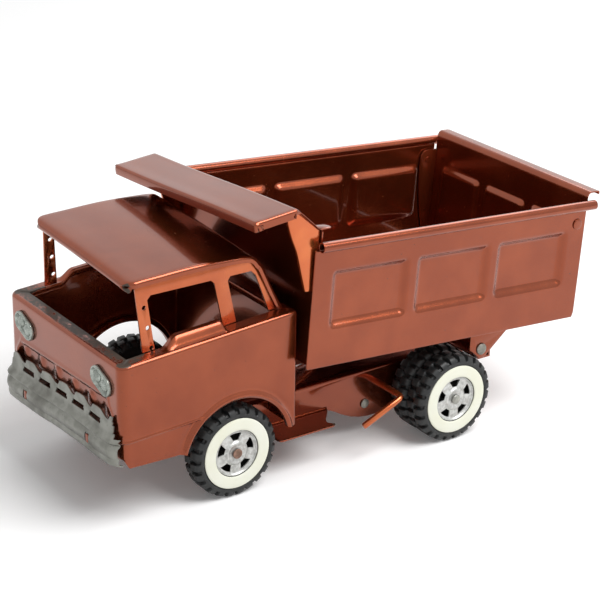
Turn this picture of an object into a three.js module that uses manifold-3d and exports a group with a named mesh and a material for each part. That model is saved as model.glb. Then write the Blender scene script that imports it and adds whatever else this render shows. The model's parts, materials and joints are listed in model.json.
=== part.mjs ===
// Pressed-steel toy dump truck: cab, chassis, six wheels, tipping bed with canopy, swinging tailgate and side lever.
// Units are millimetres. +Z is up, the truck faces -Y, and its left side is +X. Lengths along Y are laid out from
// the front axle, and the finished group is moved so that its bounding box stands centred on the origin.
import * as THREE from "three";
import { mergeVertices } from "three/addons/utils/BufferGeometryUtils.js";
import Module from "manifold-3d";

const wasm = await Module();
wasm.setup();

// ---- sheet, clearances and lean -------------------------------------------------------------------------------
const SHEET = 1.2; // pressed sheet thickness
const SEAT_GAP = 0.3; // between pieces that rest on or pass through each other
const RUNNING_GAP = 0.1; // radial, round a turning shaft
const CANOPY_LEAN = 0.065; // height gained per millimetre towards the left: the canopy and front panel are racked
const ROOF_LEAN = -0.05; // the same for the cab roof, racked the other way
const BUMPER_LEAN = 0.04; // the same for the bumper pressing

// ---- wheels ---------------------------------------------------------------------------------------------------
const TYRE_RADIUS = 28.5;
const TYRE_WIDTH = 16;
const TREAD_DEPTH = 1.8;
const LUG_COUNT = 24;
const LUG_SHARE = 0.56; // part of each pitch that is lug
const SHOULDER = 1.3; // chamfer at the tyre's edges
const RIM_RADIUS = 14.8;
const RIM_WALL = 1.3;
const HUB_DISC_THICKNESS = 1.4;
const HUB_RECESS = 1.6; // hub disc face behind the tyre's outer face
const HUB_HOLES = 5;
const HUB_HOLE_INNER = 8.2;
const HUB_HOLE_OUTER = 12.6;
const HUB_HOLE_SPREAD = 38; // degrees, at the outer edge
const BOSS_RADIUS = 7;
const BOSS_HEIGHT = 0.9;
const SLEEVE_RADIUS = 3.4;
const WHITEWALL_RADIUS = 22.4;
const WHITEWALL_THICKNESS = 0.8;
const AXLE_RADIUS = 1.6;
const AXLE_HEAD_RADIUS = 3.1;
const AXLE_HEAD_LENGTH = 1.4;
const FRONT_WHEEL_FACE = 66.5; // distance of the wheel's outer face from the centre line
const REAR_WHEEL_FACE = 79.5;
const DUAL_GAP = 0.6;
const WHEELBASE = 155;

// ---- chassis --------------------------------------------------------------------------------------------------
const CHASSIS_HALF = 42.5;
const CHASSIS_TOP = 45.5;
const CHASSIS_FRONT = -75.3;
const CHASSIS_REAR = WHEELBASE + 35;
const CHASSIS_KEEL = 13; // lowest edge of the side flanges, beside the rear axle
const CHASSIS_WAIST = 26; // flange edge at the running boards and past the front axle
const CHASSIS_NOSE = 40; // flange edge at the front end, behind the bumper
const BOARD_FRONT = 32;
const BOARD_REAR = 76;
const BOARD_HALF = 63.5;
const BOARD_NOTCH = 9;
const FLANK_RIVET = { y: WHEELBASE - 44, z: 22.5, radius: 3 };

// ---- cab ------------------------------------------------------------------------------------------------------
const CAB_HALF = 67.5;
const CAB_FRONT = -78;
const CAB_REAR = 41;
const CAB_CORNER = 6;
const BELT_FRONT = 103;
const BELT_REAR = 111.3;
const SILL_FRONT = 39.6;
const SILL_REAR = 37;
const LEDGE = 9.5; // turned-in top flange
const ARCH_RADIUS = 36;
const ARCH_LIP = 4.5;
const EMBOSS = 1.1; // height of pressed steps in the cab skin
const CREASE_FRONT = 56;
const CREASE_REAR = 62;
const GRILLE_PANEL = { half: 57, top: 76.5 };
const FRAME_FOOT_HALF = 58.8; // side frames at the belt
const FRAME_TOP_HALF = 53.4; // and under the roof edge
const ROOF_HALF = 55.5;
const ROOF_HEIGHT = 150.5;
const ROOF_FRONT = -66;
const ROOF_BACK = 21;
const ROOF_FLANGE = 4;
const PILLAR_HOLE_RADIUS = 1.4;

// ---- bumper and lamps -----------------------------------------------------------------------------------------
const BUMPER_HALF = 67;
const BUMPER_FRONT = -85;
const BUMPER_LOW = 40;
const BUMPER_TOP = 54.5;
const GRILLE_TOP = 69.5;
const GRILLE_HALF = 60.5;
const TOOTH_COUNT = 6;
const GRILLE_SLOTS = 5;
const TAB_SLOT = { x: 38, z: 48.5, width: 4.5, height: 6.5 };
const LAMP = { x: 46.3, z: 88, length: 22, width: 12.4, lens: 4.1, spread: 4.2, turn: -20, depth: 1.6 };

// ---- bed, in its level position -------------------------------------------------------------------------------
const PIVOT = { y: WHEELBASE + 26, z: 53.5 }; // bed pivot axis
const REST_RAISE = 4; // degrees: the bed stands slightly raised at rest
const BED_HALF = 77.5;
const BED_FRONT = 39.4;
const BED_REAR = PIVOT.y + 69.2;
const BED_LOW = 66.6;
const BED_HIGH = 141;
const FRONT_PANEL_Y = 43.6;
const RAIL_RADIUS = 3.2;
const RAIL_BORE = 1.9;
const RAIL_FRONT = 42;
const RAIL_REAR = BED_REAR + 5.3;
const RAIL_OFFSET = 1.8; // rail axis outboard of the bed side
const PANEL_COUNT = 3;
const PANEL_START = 52.5;
const PANEL_PITCH = 63.2;
const PANEL_LENGTH = 58.5;
const PANEL_LOW = 89.5;
const PANEL_HIGH = 127.5;
const PANEL_DEPTH = 2.2;
const PANEL_BEVEL = 4;
const EAR_FACE = 70.4; // outer face of the pivot ears
const EAR_TYRE_CLEARANCE = 2.2;
const PIVOT_RIVET_RADIUS = 2.2;
const PIVOT_HEAD_RADIUS = 3.8;
const TAILGATE_PIVOT = { y: BED_REAR - 6.1, z: 130.7 };
const GATE_FACE = BED_REAR + 1.8; // tailgate's inner face at the top
const GATE_TOP = 149.5;
const GATE_FLANGE = 10.5;
const GATE_EAR_DEPTH = 16;
const GATE_PANEL = { low: 84, high: 128, gap: 5, margin: 9 };

// ---- canopy ---------------------------------------------------------------------------------------------------
const CANOPY_HALF = BED_HALF + 0.5;
const CANOPY_FRONT = -4.4;
const CANOPY_FRONT_HEIGHT = ROOF_HEIGHT + 8;
const CANOPY_RIDGE = 24;
const CANOPY_RIDGE_HEIGHT = ROOF_HEIGHT + 12.3;
const CANOPY_LIP = 6.5;
const CANOPY_FOOT_HEIGHT = 147.5;
const CHEEK_FACE = BED_HALF - 1.9;

// ---- lever ----------------------------------------------------------------------------------------------------
const LEVER = { y: WHEELBASE - 36.5, z: 36.5 };
const LEVER_ROD = 2; // radius
const LEVER_HANDLE = { x: 71, length: 32, drop: 23 };
const LIFTER_LENGTH = 66;
const LIFTER_HALF = 9;
const LEVER_BEND = 4;

const DEG = Math.PI / 180;
const REST = REST_RAISE * DEG;

// ---- materials ------------------------------------------------------------------------------------------------
const paint = (color, roughness = 0.38) => ({ color, roughness, metalness: 0.35 });
const ENAMEL = paint(0xa05a3c);
const ENAMEL_DARK = paint(0x8c5540);
const ZINC = { color: 0x85887f, roughness: 0.5, metalness: 0.8 };
const SILVER = { color: 0xb9bab6, roughness: 0.42, metalness: 0.7 };
const RUBBER = { color: 0x26282a, roughness: 0.75, metalness: 0 };
const WHITE_VINYL = { color: 0xf1eedd, roughness: 0.5, metalness: 0 };
const COPPERY = { color: 0x8b6a58, roughness: 0.45, metalness: 0.7 };

// ---- shapes ---------------------------------------------------------------------------------------------------
// A closed three.js geometry as a manifold solid.
function solid(geometry) {
  const bare = new THREE.BufferGeometry();
  const source = geometry.index ? geometry.toNonIndexed() : geometry;
  bare.setAttribute("position", source.getAttribute("position").clone());
  const merged = mergeVertices(bare, 1e-4);
  const mesh = new wasm.Mesh({
    numProp: 3,
    vertProperties: new Float32Array(merged.attributes.position.array),
    triVerts: new Uint32Array(merged.index.array),
  });
  return new wasm.Manifold(mesh);
}

function geometryOf(body) {
  const mesh = body.getMesh();
  const geometry = new THREE.BufferGeometry();
  geometry.setAttribute("position", new THREE.BufferAttribute(new Float32Array(mesh.vertProperties), 3));
  geometry.setIndex(new THREE.BufferAttribute(new Uint32Array(mesh.triVerts), 1));
  const flat = geometry.toNonIndexed();
  flat.computeVertexNormals();
  return flat;
}

const union = (bodies) => bodies.reduce((whole, body) => whole.add(body));
const cut = (body, tools) => tools.reduce((left, tool) => left.subtract(tool), body);
const move = (body, x, y, z) => body.translate([x, y, z]);
const mirror = (body) => body.mirror([1, 0, 0]);

function shapeOf(points, holes = []) {
  const shape = new THREE.Shape(points.map(([u, v]) => new THREE.Vector2(u, v)));
  for (const hole of holes) shape.holes.push(new THREE.Path(hole.map(([u, v]) => new THREE.Vector2(u, v))));
  return shape;
}

// Profile of (y, z) points carried along X from x0 to x1.
function alongX(points, x0, x1, holes = []) {
  const flat = new THREE.ExtrudeGeometry(shapeOf(points, holes), { depth: x1 - x0, bevelEnabled: false });
  const turn = new THREE.Matrix4().makeBasis(
    new THREE.Vector3(0, 1, 0),
    new THREE.Vector3(0, 0, 1),
    new THREE.Vector3(1, 0, 0),
  );
  return move(solid(flat.applyMatrix4(turn)), x0, 0, 0);
}

// Profile of (x, z) points carried along Y from y0 to y1.
function alongY(points, y0, y1, holes = []) {
  const flat = new THREE.ExtrudeGeometry(shapeOf(points, holes), { depth: y1 - y0, bevelEnabled: false });
  const turn = new THREE.Matrix4().makeBasis(
    new THREE.Vector3(1, 0, 0),
    new THREE.Vector3(0, 0, 1),
    new THREE.Vector3(0, -1, 0),
  );
  return move(solid(flat.applyMatrix4(turn)), 0, y1, 0);
}

// Profile of (x, y) points carried along Z from z0 to z1.
function alongZ(points, z0, z1) {
  const flat = new THREE.ExtrudeGeometry(shapeOf(points), { depth: z1 - z0, bevelEnabled: false });
  return move(solid(flat), 0, 0, z0);
}

function box(x0, x1, y0, y1, z0, z1) {
  const block = new THREE.BoxGeometry(x1 - x0, y1 - y0, z1 - z0);
  return move(solid(block), (x0 + x1) / 2, (y0 + y1) / 2, (z0 + z1) / 2);
}

// Round bar along X.
function barX(radius, x0, x1, y, z, sides = 24) {
  const bar = new THREE.CylinderGeometry(radius, radius, x1 - x0, sides).rotateZ(Math.PI / 2);
  return move(solid(bar), (x0 + x1) / 2, y, z);
}

// Turned shape about X from a profile of (x, radius) points that closes on the axis.
function turnedX(profile, sides = 24) {
  const points = profile.map(([x, radius]) => new THREE.Vector2(radius, x));
  return solid(new THREE.LatheGeometry(points, sides).rotateZ(-Math.PI / 2));
}

const circle = (u, v, radius, sides = 24) =>
  Array.from({ length: sides }, (_, i) => {
    const angle = (i / sides) * 2 * Math.PI;
    return [u + radius * Math.cos(angle), v + radius * Math.sin(angle)];
  });

// Arc points from one angle to another, in degrees.
const arc = (u, v, radius, from, to, steps) =>
  Array.from({ length: steps + 1 }, (_, i) => {
    const angle = (from + ((to - from) * i) / steps) * DEG;
    return [u + radius * Math.cos(angle), v + radius * Math.sin(angle)];
  });

// Rectangle with round corners, counter-clockwise.
function roundedBox(u0, u1, v0, v1, radius, steps = 3) {
  return [
    ...arc(u1 - radius, v0 + radius, radius, -90, 0, steps),
    ...arc(u1 - radius, v1 - radius, radius, 0, 90, steps),
    ...arc(u0 + radius, v1 - radius, radius, 90, 180, steps),
    ...arc(u0 + radius, v0 + radius, radius, 180, 270, steps),
  ];
}

// Closed outline of a bent strip: the path, then the path moved to its right by the thickness, with mitred corners.
function strip(path, thickness = SHEET) {
  const offset = path.map((point, i) => {
    const before = i > 0 ? unit(path[i - 1], point) : unit(point, path[i + 1]);
    const after = i < path.length - 1 ? unit(point, path[i + 1]) : before;
    const normal = [before[1] + after[1], -(before[0] + after[0])];
    const scale = thickness / (1 + before[0] * after[0] + before[1] * after[1]);
    return [point[0] + normal[0] * scale, point[1] + normal[1] * scale];
  });
  return [...path, ...offset.reverse()];
}

function unit(a, b) {
  const length = Math.hypot(b[0] - a[0], b[1] - a[1]);
  return [(b[0] - a[0]) / length, (b[1] - a[1]) / length];
}

// Height that grows across the truck's width.
function lean(body, slope) {
  const shear = new THREE.Matrix4().makeShear(0, slope, 0, 0, 0, 0);
  return body.transform(shear.elements);
}

const mix = (a, b, t) => a + (b - a) * t;
const beltAt = (y) => mix(BELT_FRONT, BELT_REAR, (y - CAB_FRONT) / (CAB_REAR - CAB_FRONT));
const creaseAt = (y) => mix(CREASE_FRONT, CREASE_REAR, (y - CAB_FRONT) / (CAB_REAR - CAB_FRONT));

// ---- wheels ---------------------------------------------------------------------------------------------------
// Each wheel is made with its outer face at x = 0, its width running to -X and its axis on X.
function tyreSolid() {
  const outline = [];
  const pitch = (2 * Math.PI) / LUG_COUNT;
  for (let lug = 0; lug < LUG_COUNT; lug++) {
    // one lug stands on its flat at the lowest point
    const middle = -Math.PI / 2 + lug * pitch;
    const half = (pitch * LUG_SHARE) / 2;
    const flat = TYRE_RADIUS / Math.cos(half);
    for (const [angle, radius] of [
      [middle - half, flat],
      [middle + half, flat],
      [middle + half + 0.02, TYRE_RADIUS - TREAD_DEPTH],
      [middle + pitch - half - 0.02, TYRE_RADIUS - TREAD_DEPTH],
    ]) {
      outline.push([radius * Math.cos(angle), radius * Math.sin(angle)]);
    }
  }
  const bore = circle(0, 0, RIM_RADIUS + SEAT_GAP / 3, 24).reverse();
  const tread = alongX(outline, -TYRE_WIDTH, 0, [bore]);
  const shoulder = turnedX(
    [
      [-TYRE_WIDTH, 0],
      [-TYRE_WIDTH, TYRE_RADIUS - SHOULDER * 2],
      [-TYRE_WIDTH + SHOULDER, TYRE_RADIUS + 0.4],
      [-WHITEWALL_THICKNESS - SHOULDER, TYRE_RADIUS + 0.4],
      [-WHITEWALL_THICKNESS, TYRE_RADIUS - SHOULDER * 2],
      [-WHITEWALL_THICKNESS, 0],
    ],
    LUG_COUNT,
  );
  return tread.intersect(shoulder.rotate([180 / LUG_COUNT, 0, 0]));
}

function hubSolid(withDisc) {
  const face = -HUB_RECESS;
  const back = -TYRE_WIDTH + 1;
  const bore = AXLE_RADIUS + RUNNING_GAP;
  const rim = turnedX(
    [
      [back, 0],
      [back, RIM_RADIUS],
      [face, RIM_RADIUS],
      [face, 0],
    ],
    24,
  );
  const hollow = turnedX(
    [
      [back - 1, SLEEVE_RADIUS],
      [back - 1, RIM_RADIUS - RIM_WALL],
      [face - HUB_DISC_THICKNESS, RIM_RADIUS - RIM_WALL],
      [face - HUB_DISC_THICKNESS, SLEEVE_RADIUS],
      [back - 1, SLEEVE_RADIUS],
    ],
    24,
  );
  const boss = barX(BOSS_RADIUS, face - HUB_DISC_THICKNESS, face + BOSS_HEIGHT, 0, 0, 20);
  const tools = [hollow, barX(bore, back - 2, face + 3, 0, 0)];
  for (let i = 0; i < (withDisc ? HUB_HOLES : 0); i++) {
    const middle = 90 + (i * 360) / HUB_HOLES;
    const half = HUB_HOLE_SPREAD / 2;
    const window = [
      ...arc(0, 0, HUB_HOLE_OUTER, middle - half, middle + half, 2),
      ...arc(0, 0, HUB_HOLE_INNER, middle + half / 1.6, middle - half / 1.6, 1),
    ];
    tools.push(alongX(window, face - HUB_DISC_THICKNESS - 1, face + 1));
  }
  return cut(rim.add(boss), tools);
}

function whitewallSolid() {
  const ring = [circle(0, 0, RIM_RADIUS + SEAT_GAP / 3, 24).reverse()];
  return alongX(circle(0, 0, WHITEWALL_RADIUS, 32), -WHITEWALL_THICKNESS + SEAT_GAP, 0, ring);
}

function axleSolid(face) {
  const headBase = face - HUB_RECESS + BOSS_HEIGHT + SEAT_GAP;
  const headTop = headBase + AXLE_HEAD_LENGTH;
  return turnedX([
    [-headTop, 0],
    [-headTop + 0.3, AXLE_HEAD_RADIUS * 0.75],
    [-headBase - 0.4, AXLE_HEAD_RADIUS],
    [-headBase, AXLE_HEAD_RADIUS],
    [-headBase, AXLE_RADIUS],
    [headBase, AXLE_RADIUS],
    [headBase, AXLE_HEAD_RADIUS],
    [headBase + 0.4, AXLE_HEAD_RADIUS],
    [headTop - 0.3, AXLE_HEAD_RADIUS * 0.75],
    [headTop, 0],
  ]);
}

// ---- chassis --------------------------------------------------------------------------------------------------
// An inverted channel whose side flanges turn out into running boards and deepen round the rear axle.
function chassisSolid() {
  const profile = [
    [CHASSIS_FRONT, CHASSIS_NOSE],
    [CHASSIS_FRONT + 24, CHASSIS_NOSE],
    [CHASSIS_FRONT + 34, CHASSIS_WAIST],
    [BOARD_REAR + 4, CHASSIS_WAIST],
    [BOARD_REAR + 19, CHASSIS_KEEL + 6],
    [BOARD_REAR + 31, CHASSIS_KEEL + 1],
    [BOARD_REAR + 38, CHASSIS_KEEL],
    [WHEELBASE + 10, CHASSIS_KEEL],
    [WHEELBASE + 22, CHASSIS_KEEL + 8],
    [CHASSIS_REAR, CHASSIS_TOP - 12],
    [CHASSIS_REAR, CHASSIS_TOP],
    [CHASSIS_FRONT, CHASSIS_TOP],
  ];
  const outer = alongX(profile, -CHASSIS_HALF, CHASSIS_HALF);
  const inner = box(
    -CHASSIS_HALF + SHEET,
    CHASSIS_HALF - SHEET,
    CHASSIS_FRONT - 1,
    CHASSIS_REAR + 1,
    0,
    CHASSIS_TOP - SHEET,
  );
  const channel = outer.subtract(inner);
  const notch = arc(BOARD_HALF + 1, BOARD_REAR + 5, BOARD_NOTCH, 180, 270, 4);
  const board = [
    [CHASSIS_HALF - SHEET, BOARD_FRONT],
    [BOARD_HALF, BOARD_FRONT],
    [BOARD_HALF, BOARD_REAR],
    [BOARD_HALF - 4, BOARD_REAR - 2.5],
    [BOARD_HALF - 12, BOARD_REAR],
    [CHASSIS_HALF - SHEET, notch[0][1]],
  ];
  const boardLeft = alongZ(board, CHASSIS_WAIST, CHASSIS_WAIST + SHEET);
  const frame = union([channel, boardLeft, mirror(boardLeft)]);
  const axleHole = AXLE_RADIUS + SEAT_GAP;
  const reach = LIFTER_LENGTH * Math.cos(20 * DEG);
  const across = CHASSIS_HALF + 1;
  return cut(frame, [
    barX(axleHole, -across, across, 0, TYRE_RADIUS),
    barX(axleHole, -across, across, WHEELBASE, TYRE_RADIUS),
    barX(LEVER_ROD + RUNNING_GAP, -across, across, LEVER.y, LEVER.z),
    box(
      -LIFTER_HALF - LEVER_ROD - 2,
      LIFTER_HALF + LEVER_ROD + 2,
      LEVER.y - reach - 6,
      LEVER.y + 8,
      CHASSIS_TOP - SHEET - 1,
      CHASSIS_TOP + 1,
    ),
    ...[-1, 1].map((side) =>
      barX(
        FLANK_RIVET.radius * 0.6 + SEAT_GAP,
        Math.min(side * (CHASSIS_HALF - 3), side * across),
        Math.max(side * (CHASSIS_HALF - 3), side * across),
        FLANK_RIVET.y,
        FLANK_RIVET.z,
        12,
      ),
    ),
  ]);
}

// Cross-channel on the frame's tail that carries the bed pivots outside the rear tyres.
function crossmemberSolid() {
  const face = EAR_FACE - SHEET - SEAT_GAP;
  const foot = CHASSIS_TOP + SEAT_GAP;
  const front = PIVOT.y - 0.8;
  const back = CHASSIS_REAR;
  const web = box(-face, face, front, back, foot, foot + SHEET);
  const lip = box(-face, face, back - SHEET, back, foot, foot + 6);
  const upright = [
    [front, foot],
    [PIVOT.y + 6, foot],
    [PIVOT.y + 6, PIVOT.z],
    ...arc(PIVOT.y, PIVOT.z, 5, 20, 200, 6),
  ];
  const cheek = alongX(upright, face - SHEET, face);
  const body = union([web, lip, cheek, mirror(cheek)]);
  return body.subtract(barX(PIVOT_RIVET_RADIUS + RUNNING_GAP, -face - 1, face + 1, PIVOT.y, PIVOT.z));
}

function rivetSolid(shank, head, inner, outer, lift = 1) {
  return turnedX(
    [
      [inner, 0],
      [inner, shank],
      [outer, shank],
      [outer, head],
      [outer + lift * 0.45, head],
      [outer + lift, head * 0.6],
      [outer + lift, 0],
    ],
    16,
  );
}

// ---- cab ------------------------------------------------------------------------------------------------------
// Footprint of the cab inset by a margin, with round front corners.
function footprint(inset) {
  const half = CAB_HALF - inset;
  const front = CAB_FRONT + inset;
  const radius = Math.max(CAB_CORNER - inset, 0.8);
  return [
    [half, CAB_REAR - inset],
    [-half, CAB_REAR - inset],
    ...arc(-half + radius, front + radius, radius, 180, 270, 4),
    ...arc(half - radius, front + radius, radius, 270, 360, 4),
  ];
}

const far = { front: CAB_FRONT - 20, rear: CAB_REAR + 20 };

// Side band of the cab between two heights, each given at any y.
const sideBand = (low, high, half = CAB_HALF + 5) =>
  alongX(
    [
      [far.front, low(far.front)],
      [far.rear, low(far.rear)],
      [far.rear, high(far.rear)],
      [far.front, high(far.front)],
    ],
    -half,
    half,
  );

function cabSolid() {
  const sillAt = (y) => mix(SILL_FRONT, SILL_REAR, (y - CAB_FRONT) / (CAB_REAR - CAB_FRONT));
  const skin = alongZ(footprint(0), 0, 150).intersect(sideBand(creaseAt, beltAt));
  const skirt = alongZ(footprint(EMBOSS), 0, 150).intersect(sideBand(sillAt, (y) => creaseAt(y) + 0.5));
  const hollow = alongZ(footprint(SHEET + EMBOSS), 0, 150).intersect(
    sideBand(() => 0, (y) => beltAt(y) - SHEET),
  );
  const opening = alongZ(footprint(LEDGE), 90, 150);
  const arch = (radius, half) =>
    barX(radius, -half, half, 0, TYRE_RADIUS, 40).intersect(box(-half, half, -60, 60, 20, 100));
  const lip = cut(arch(ARCH_RADIUS + ARCH_LIP, CAB_HALF), [
    box(-CAB_HALF + EMBOSS + 1, CAB_HALF - EMBOSS - 1, -60, 60, 0, 120),
  ]).intersect(sideBand(sillAt, beltAt));
  // door boss: a rounded hump that stands on the ledge under the front side window
  const boss = alongX(
    [
      [-46, beltAt(-46) - 0.6],
      [-2, beltAt(-2) - 0.6],
      [-2, beltAt(-2) + 2.4],
      [-5, beltAt(-5) + 4.6],
      [-37, beltAt(-37) + 4.6],
    ],
    FRAME_FOOT_HALF + SEAT_GAP,
    CAB_HALF - 2.6,
  );
  const recess = (depth) => {
    const { half, top } = GRILLE_PANEL;
    const outline = [
      [-half - 5, 30],
      [half + 5, 30],
      [half + 2, top - 8],
      [half - 5, top],
      [-half + 5, top],
      [-half - 2, top - 8],
    ];
    return lean(alongY(outline, CAB_FRONT - 1, CAB_FRONT + depth), BUMPER_LEAN);
  };
  const doorway = CHASSIS_HALF + SEAT_GAP;
  const rearDoorway = box(-doorway, doorway, CAB_REAR - 5, CAB_REAR + 1, 0, CHASSIS_TOP + SEAT_GAP);
  const body = cut(union([skin, skirt]), [hollow, opening]);
  const trimmed = cut(union([body, lip]), [arch(ARCH_RADIUS, CAB_HALF + 5), recess(EMBOSS), rearDoorway]);
  // two tabs of the front pass through the bumper and hold it
  const tab = box(
    TAB_SLOT.x - TAB_SLOT.width / 2 + 0.6,
    TAB_SLOT.x + TAB_SLOT.width / 2 - 0.6,
    BUMPER_FRONT - 0.6,
    CAB_FRONT + EMBOSS + SHEET / 2,
    TAB_SLOT.z - TAB_SLOT.height / 2 + 0.6,
    TAB_SLOT.z + TAB_SLOT.height / 2 - 0.6,
  );
  const tabs = lean(union([tab, mirror(tab)]), BUMPER_LEAN);
  return union([trimmed, boss, mirror(boss), tabs]);
}

// Outline of the roof's top line from the visor nose over the crown and down the back to the belt.
const roofLine = () => [
  [ROOF_FRONT + 1.4, ROOF_HEIGHT - 6.2],
  [ROOF_FRONT, ROOF_HEIGHT - 4.6],
  [ROOF_FRONT + 0.6, ROOF_HEIGHT - 2.6],
  [ROOF_FRONT + 3.4, ROOF_HEIGHT - 0.9],
  [-46, ROOF_HEIGHT],
  [-22, ROOF_HEIGHT + 0.8],
  [2, ROOF_HEIGHT],
  [ROOF_BACK - 5, ROOF_HEIGHT - 1.2],
  [ROOF_BACK - 0.5, ROOF_HEIGHT - 4],
  [ROOF_BACK + 3.4, ROOF_HEIGHT - 9.5],
  [CAB_REAR - 4.5, beltAt(CAB_REAR) + 2.6],
];

function roofSolid() {
  const line = roofLine();
  // the sides follow the lean of the side frames, so the back widens towards the belt
  const halfAt = (z) => ROOF_HALF + ((FRAME_FOOT_HALF - FRAME_TOP_HALF) * (ROOF_HEIGHT - z)) / (ROOF_HEIGHT - BELT_FRONT);
  const between = (inset) =>
    alongY(
      [
        [-halfAt(100) + inset, 100],
        [halfAt(100) - inset, 100],
        [halfAt(160) - inset, 160],
        [-halfAt(160) + inset, 160],
      ],
      far.front,
      far.rear,
    );
  const shell = alongX(strip(line), -CAB_HALF, CAB_HALF);
  const edge = alongX(strip(line, ROOF_FLANGE), -CAB_HALF, CAB_HALF).subtract(between(SHEET));
  const whole = union([shell, edge]).intersect(between(0));
  const corner = alongZ(
    [
      [-ROOF_HALF - 1, ROOF_FRONT - 1],
      [-ROOF_HALF + 5, ROOF_FRONT - 1],
      [-ROOF_HALF - 1, ROOF_FRONT + 7],
    ],
    100,
    170,
  );
  const floor = sideBand(() => 60, (y) => beltAt(y) + SEAT_GAP);
  return cut(lean(cut(whole, [corner, mirror(corner)]), ROOF_LEAN), [floor]);
}

// Pressed side frame with three pillars and two window openings, leaning in towards the roof.
function sideFrameSolid(side) {
  const top = ROOF_HEIGHT - SHEET - 1.4;
  const outline = [
    [-57.5, 90],
    [34.6, 90],
    [34.6, 116],
    [ROOF_BACK + 6, top - 8],
    [ROOF_BACK, top],
    [-46, top],
    [-60.2, top - 1.2],
    [-60.2, top - 6],
  ];
  const windowTop = top - 8.5;
  const frontWindow = [
    [-48.6, 85],
    [-4.6, 85],
    [-4.6, 111],
    [-8.6, windowTop - 2],
    [-10.8, windowTop],
    [-50.6, windowTop],
    [-53, windowTop - 2.4],
  ];
  const rearWindow = [
    [4.4, 85],
    [27.6, 85],
    [27.6, 112],
    [19.6, windowTop - 3],
    [16.6, windowTop],
    [2.4, windowTop],
    [0.4, windowTop - 2.4],
    [4.4, 111],
  ];
  const holes = [
    [-55.4, 133],
    [-53.9, 121],
    [-52.5, 109],
  ].map(([y, z]) => circle(y, z, PILLAR_HOLE_RADIUS, 12).reverse());
  const plate = cut(alongX(outline, -SHEET, 0, holes), [
    alongX(frontWindow, -5, 5),
    alongX(rearWindow, -5, 5),
  ]);
  const height = ROOF_HEIGHT - BELT_FRONT;
  const tilt = Math.atan2(FRAME_FOOT_HALF - FRAME_TOP_HALF, height) / DEG;
  const standing = move(move(plate, 0, 0, -ROOF_HEIGHT).rotate([0, -tilt, 0]), FRAME_TOP_HALF, 0, ROOF_HEIGHT);
  const placed = side > 0 ? standing : mirror(standing);
  const ledge = sideBand(() => 60, (y) => beltAt(y) + SEAT_GAP);
  const roofBand = strip(roofLine(), SHEET + SEAT_GAP);
  const aboveRoof = [...roofLine(), [80, 115], [80, 200], [-90, 200], [-90, 140]];
  const clear = lean(alongX(roofBand, -90, 90).add(alongX(aboveRoof, -90, 90)), ROOF_LEAN);
  return cut(lean(placed, ROOF_LEAN), [ledge, clear]);
}

// ---- bumper and lamps -----------------------------------------------------------------------------------------
// One pressing: a two-rib bumper bar below a toothed, slotted grille strip.
function bumperSolid() {
  const front = BUMPER_FRONT;
  const section = [
    [front + 3.6, BUMPER_LOW],
    [front + 1.6, BUMPER_LOW + 2],
    [front + 1, BUMPER_LOW + 5],
    [front, BUMPER_LOW + 7.5],
    [front, BUMPER_LOW + 11.5],
    [front + 1.8, BUMPER_TOP],
    [front + 3.4, BUMPER_TOP + 2],
    [front + 5.2, GRILLE_TOP],
  ];
  const bar = alongX(strip(section), -BUMPER_HALF, BUMPER_HALF);
  const corner = (half, reach) => [
    [half + 1, front - 2],
    [half + 1, front + reach],
    [half - 2, front + reach * 0.55],
    [half - reach, front - 2],
  ];
  const wing = box(
    BUMPER_HALF - SHEET,
    BUMPER_HALF,
    front + 3,
    front + 8,
    BUMPER_LOW + 1,
    BUMPER_TOP,
  );
  const teeth = [];
  const pitch = (2 * GRILLE_HALF) / TOOTH_COUNT;
  for (let i = 0; i < TOOTH_COUNT; i++) {
    const left = -GRILLE_HALF + i * pitch;
    const notch = [
      [left + pitch * 0.35, GRILLE_TOP + 2],
      [left + pitch * 0.62, GRILLE_TOP - 3.2],
      [left + pitch * 0.78, GRILLE_TOP - 3.2],
      [left + pitch, GRILLE_TOP + 2],
    ];
    teeth.push(alongY(notch, front - 5, front + 15));
  }
  const slots = [];
  for (let i = 0; i < GRILLE_SLOTS; i++) {
    const middle = (i - (GRILLE_SLOTS - 1) / 2) * pitch + pitch * 0.05;
    const slot = roundedBox(middle - 7, middle + 7, GRILLE_TOP - 8.5, GRILLE_TOP - 5.3, 1.2, 2);
    slots.push(alongY(slot, front - 5, front + 15));
  }
  const trims = [1, -1].map((side) => {
    const trim = alongY(
      [
        [GRILLE_HALF, BUMPER_TOP + 1.5],
        [BUMPER_HALF + 2, BUMPER_TOP + 1.5],
        [BUMPER_HALF + 2, GRILLE_TOP + 3],
        [GRILLE_HALF - 1.5, GRILLE_TOP + 3],
      ],
      front - 5,
      front + 15,
    );
    return side > 0 ? trim : mirror(trim);
  });
  const { x, z, width, height } = TAB_SLOT;
  const tabs = [-x, x].map((at) =>
    alongY(roundedBox(at - width / 2, at + width / 2, z - height / 2, z + height / 2, 0.8, 2), front - 5, front + 15),
  );
  const nip = alongZ(corner(BUMPER_HALF, 5), 0, 120);
  const whole = union([bar, wing, mirror(wing)]);
  return lean(cut(whole, [...teeth, ...slots, ...trims, ...tabs, nip, mirror(nip)]), BUMPER_LEAN);
}

// Oval bezel with two round lenses, set aslant on the cab's face.
function lampSolid(side) {
  const { x, z, length, width, lens, spread, turn, depth } = LAMP;
  const half = length / 2 - width / 2;
  const oval = [
    ...arc(half, 0, width / 2, -90, 90, 8),
    ...arc(-half, 0, width / 2, 90, 270, 8),
  ];
  const plate = alongY(oval, -depth * 0.6, 0);
  const lenses = [-spread, spread].map((u) => alongY(circle(u, 0, lens, 16), -depth, -depth * 0.5));
  const lamp = union([plate, ...lenses]).rotate([0, -turn, 0]);
  return move(lamp, side * x, CAB_FRONT - SEAT_GAP, z);
}

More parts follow.
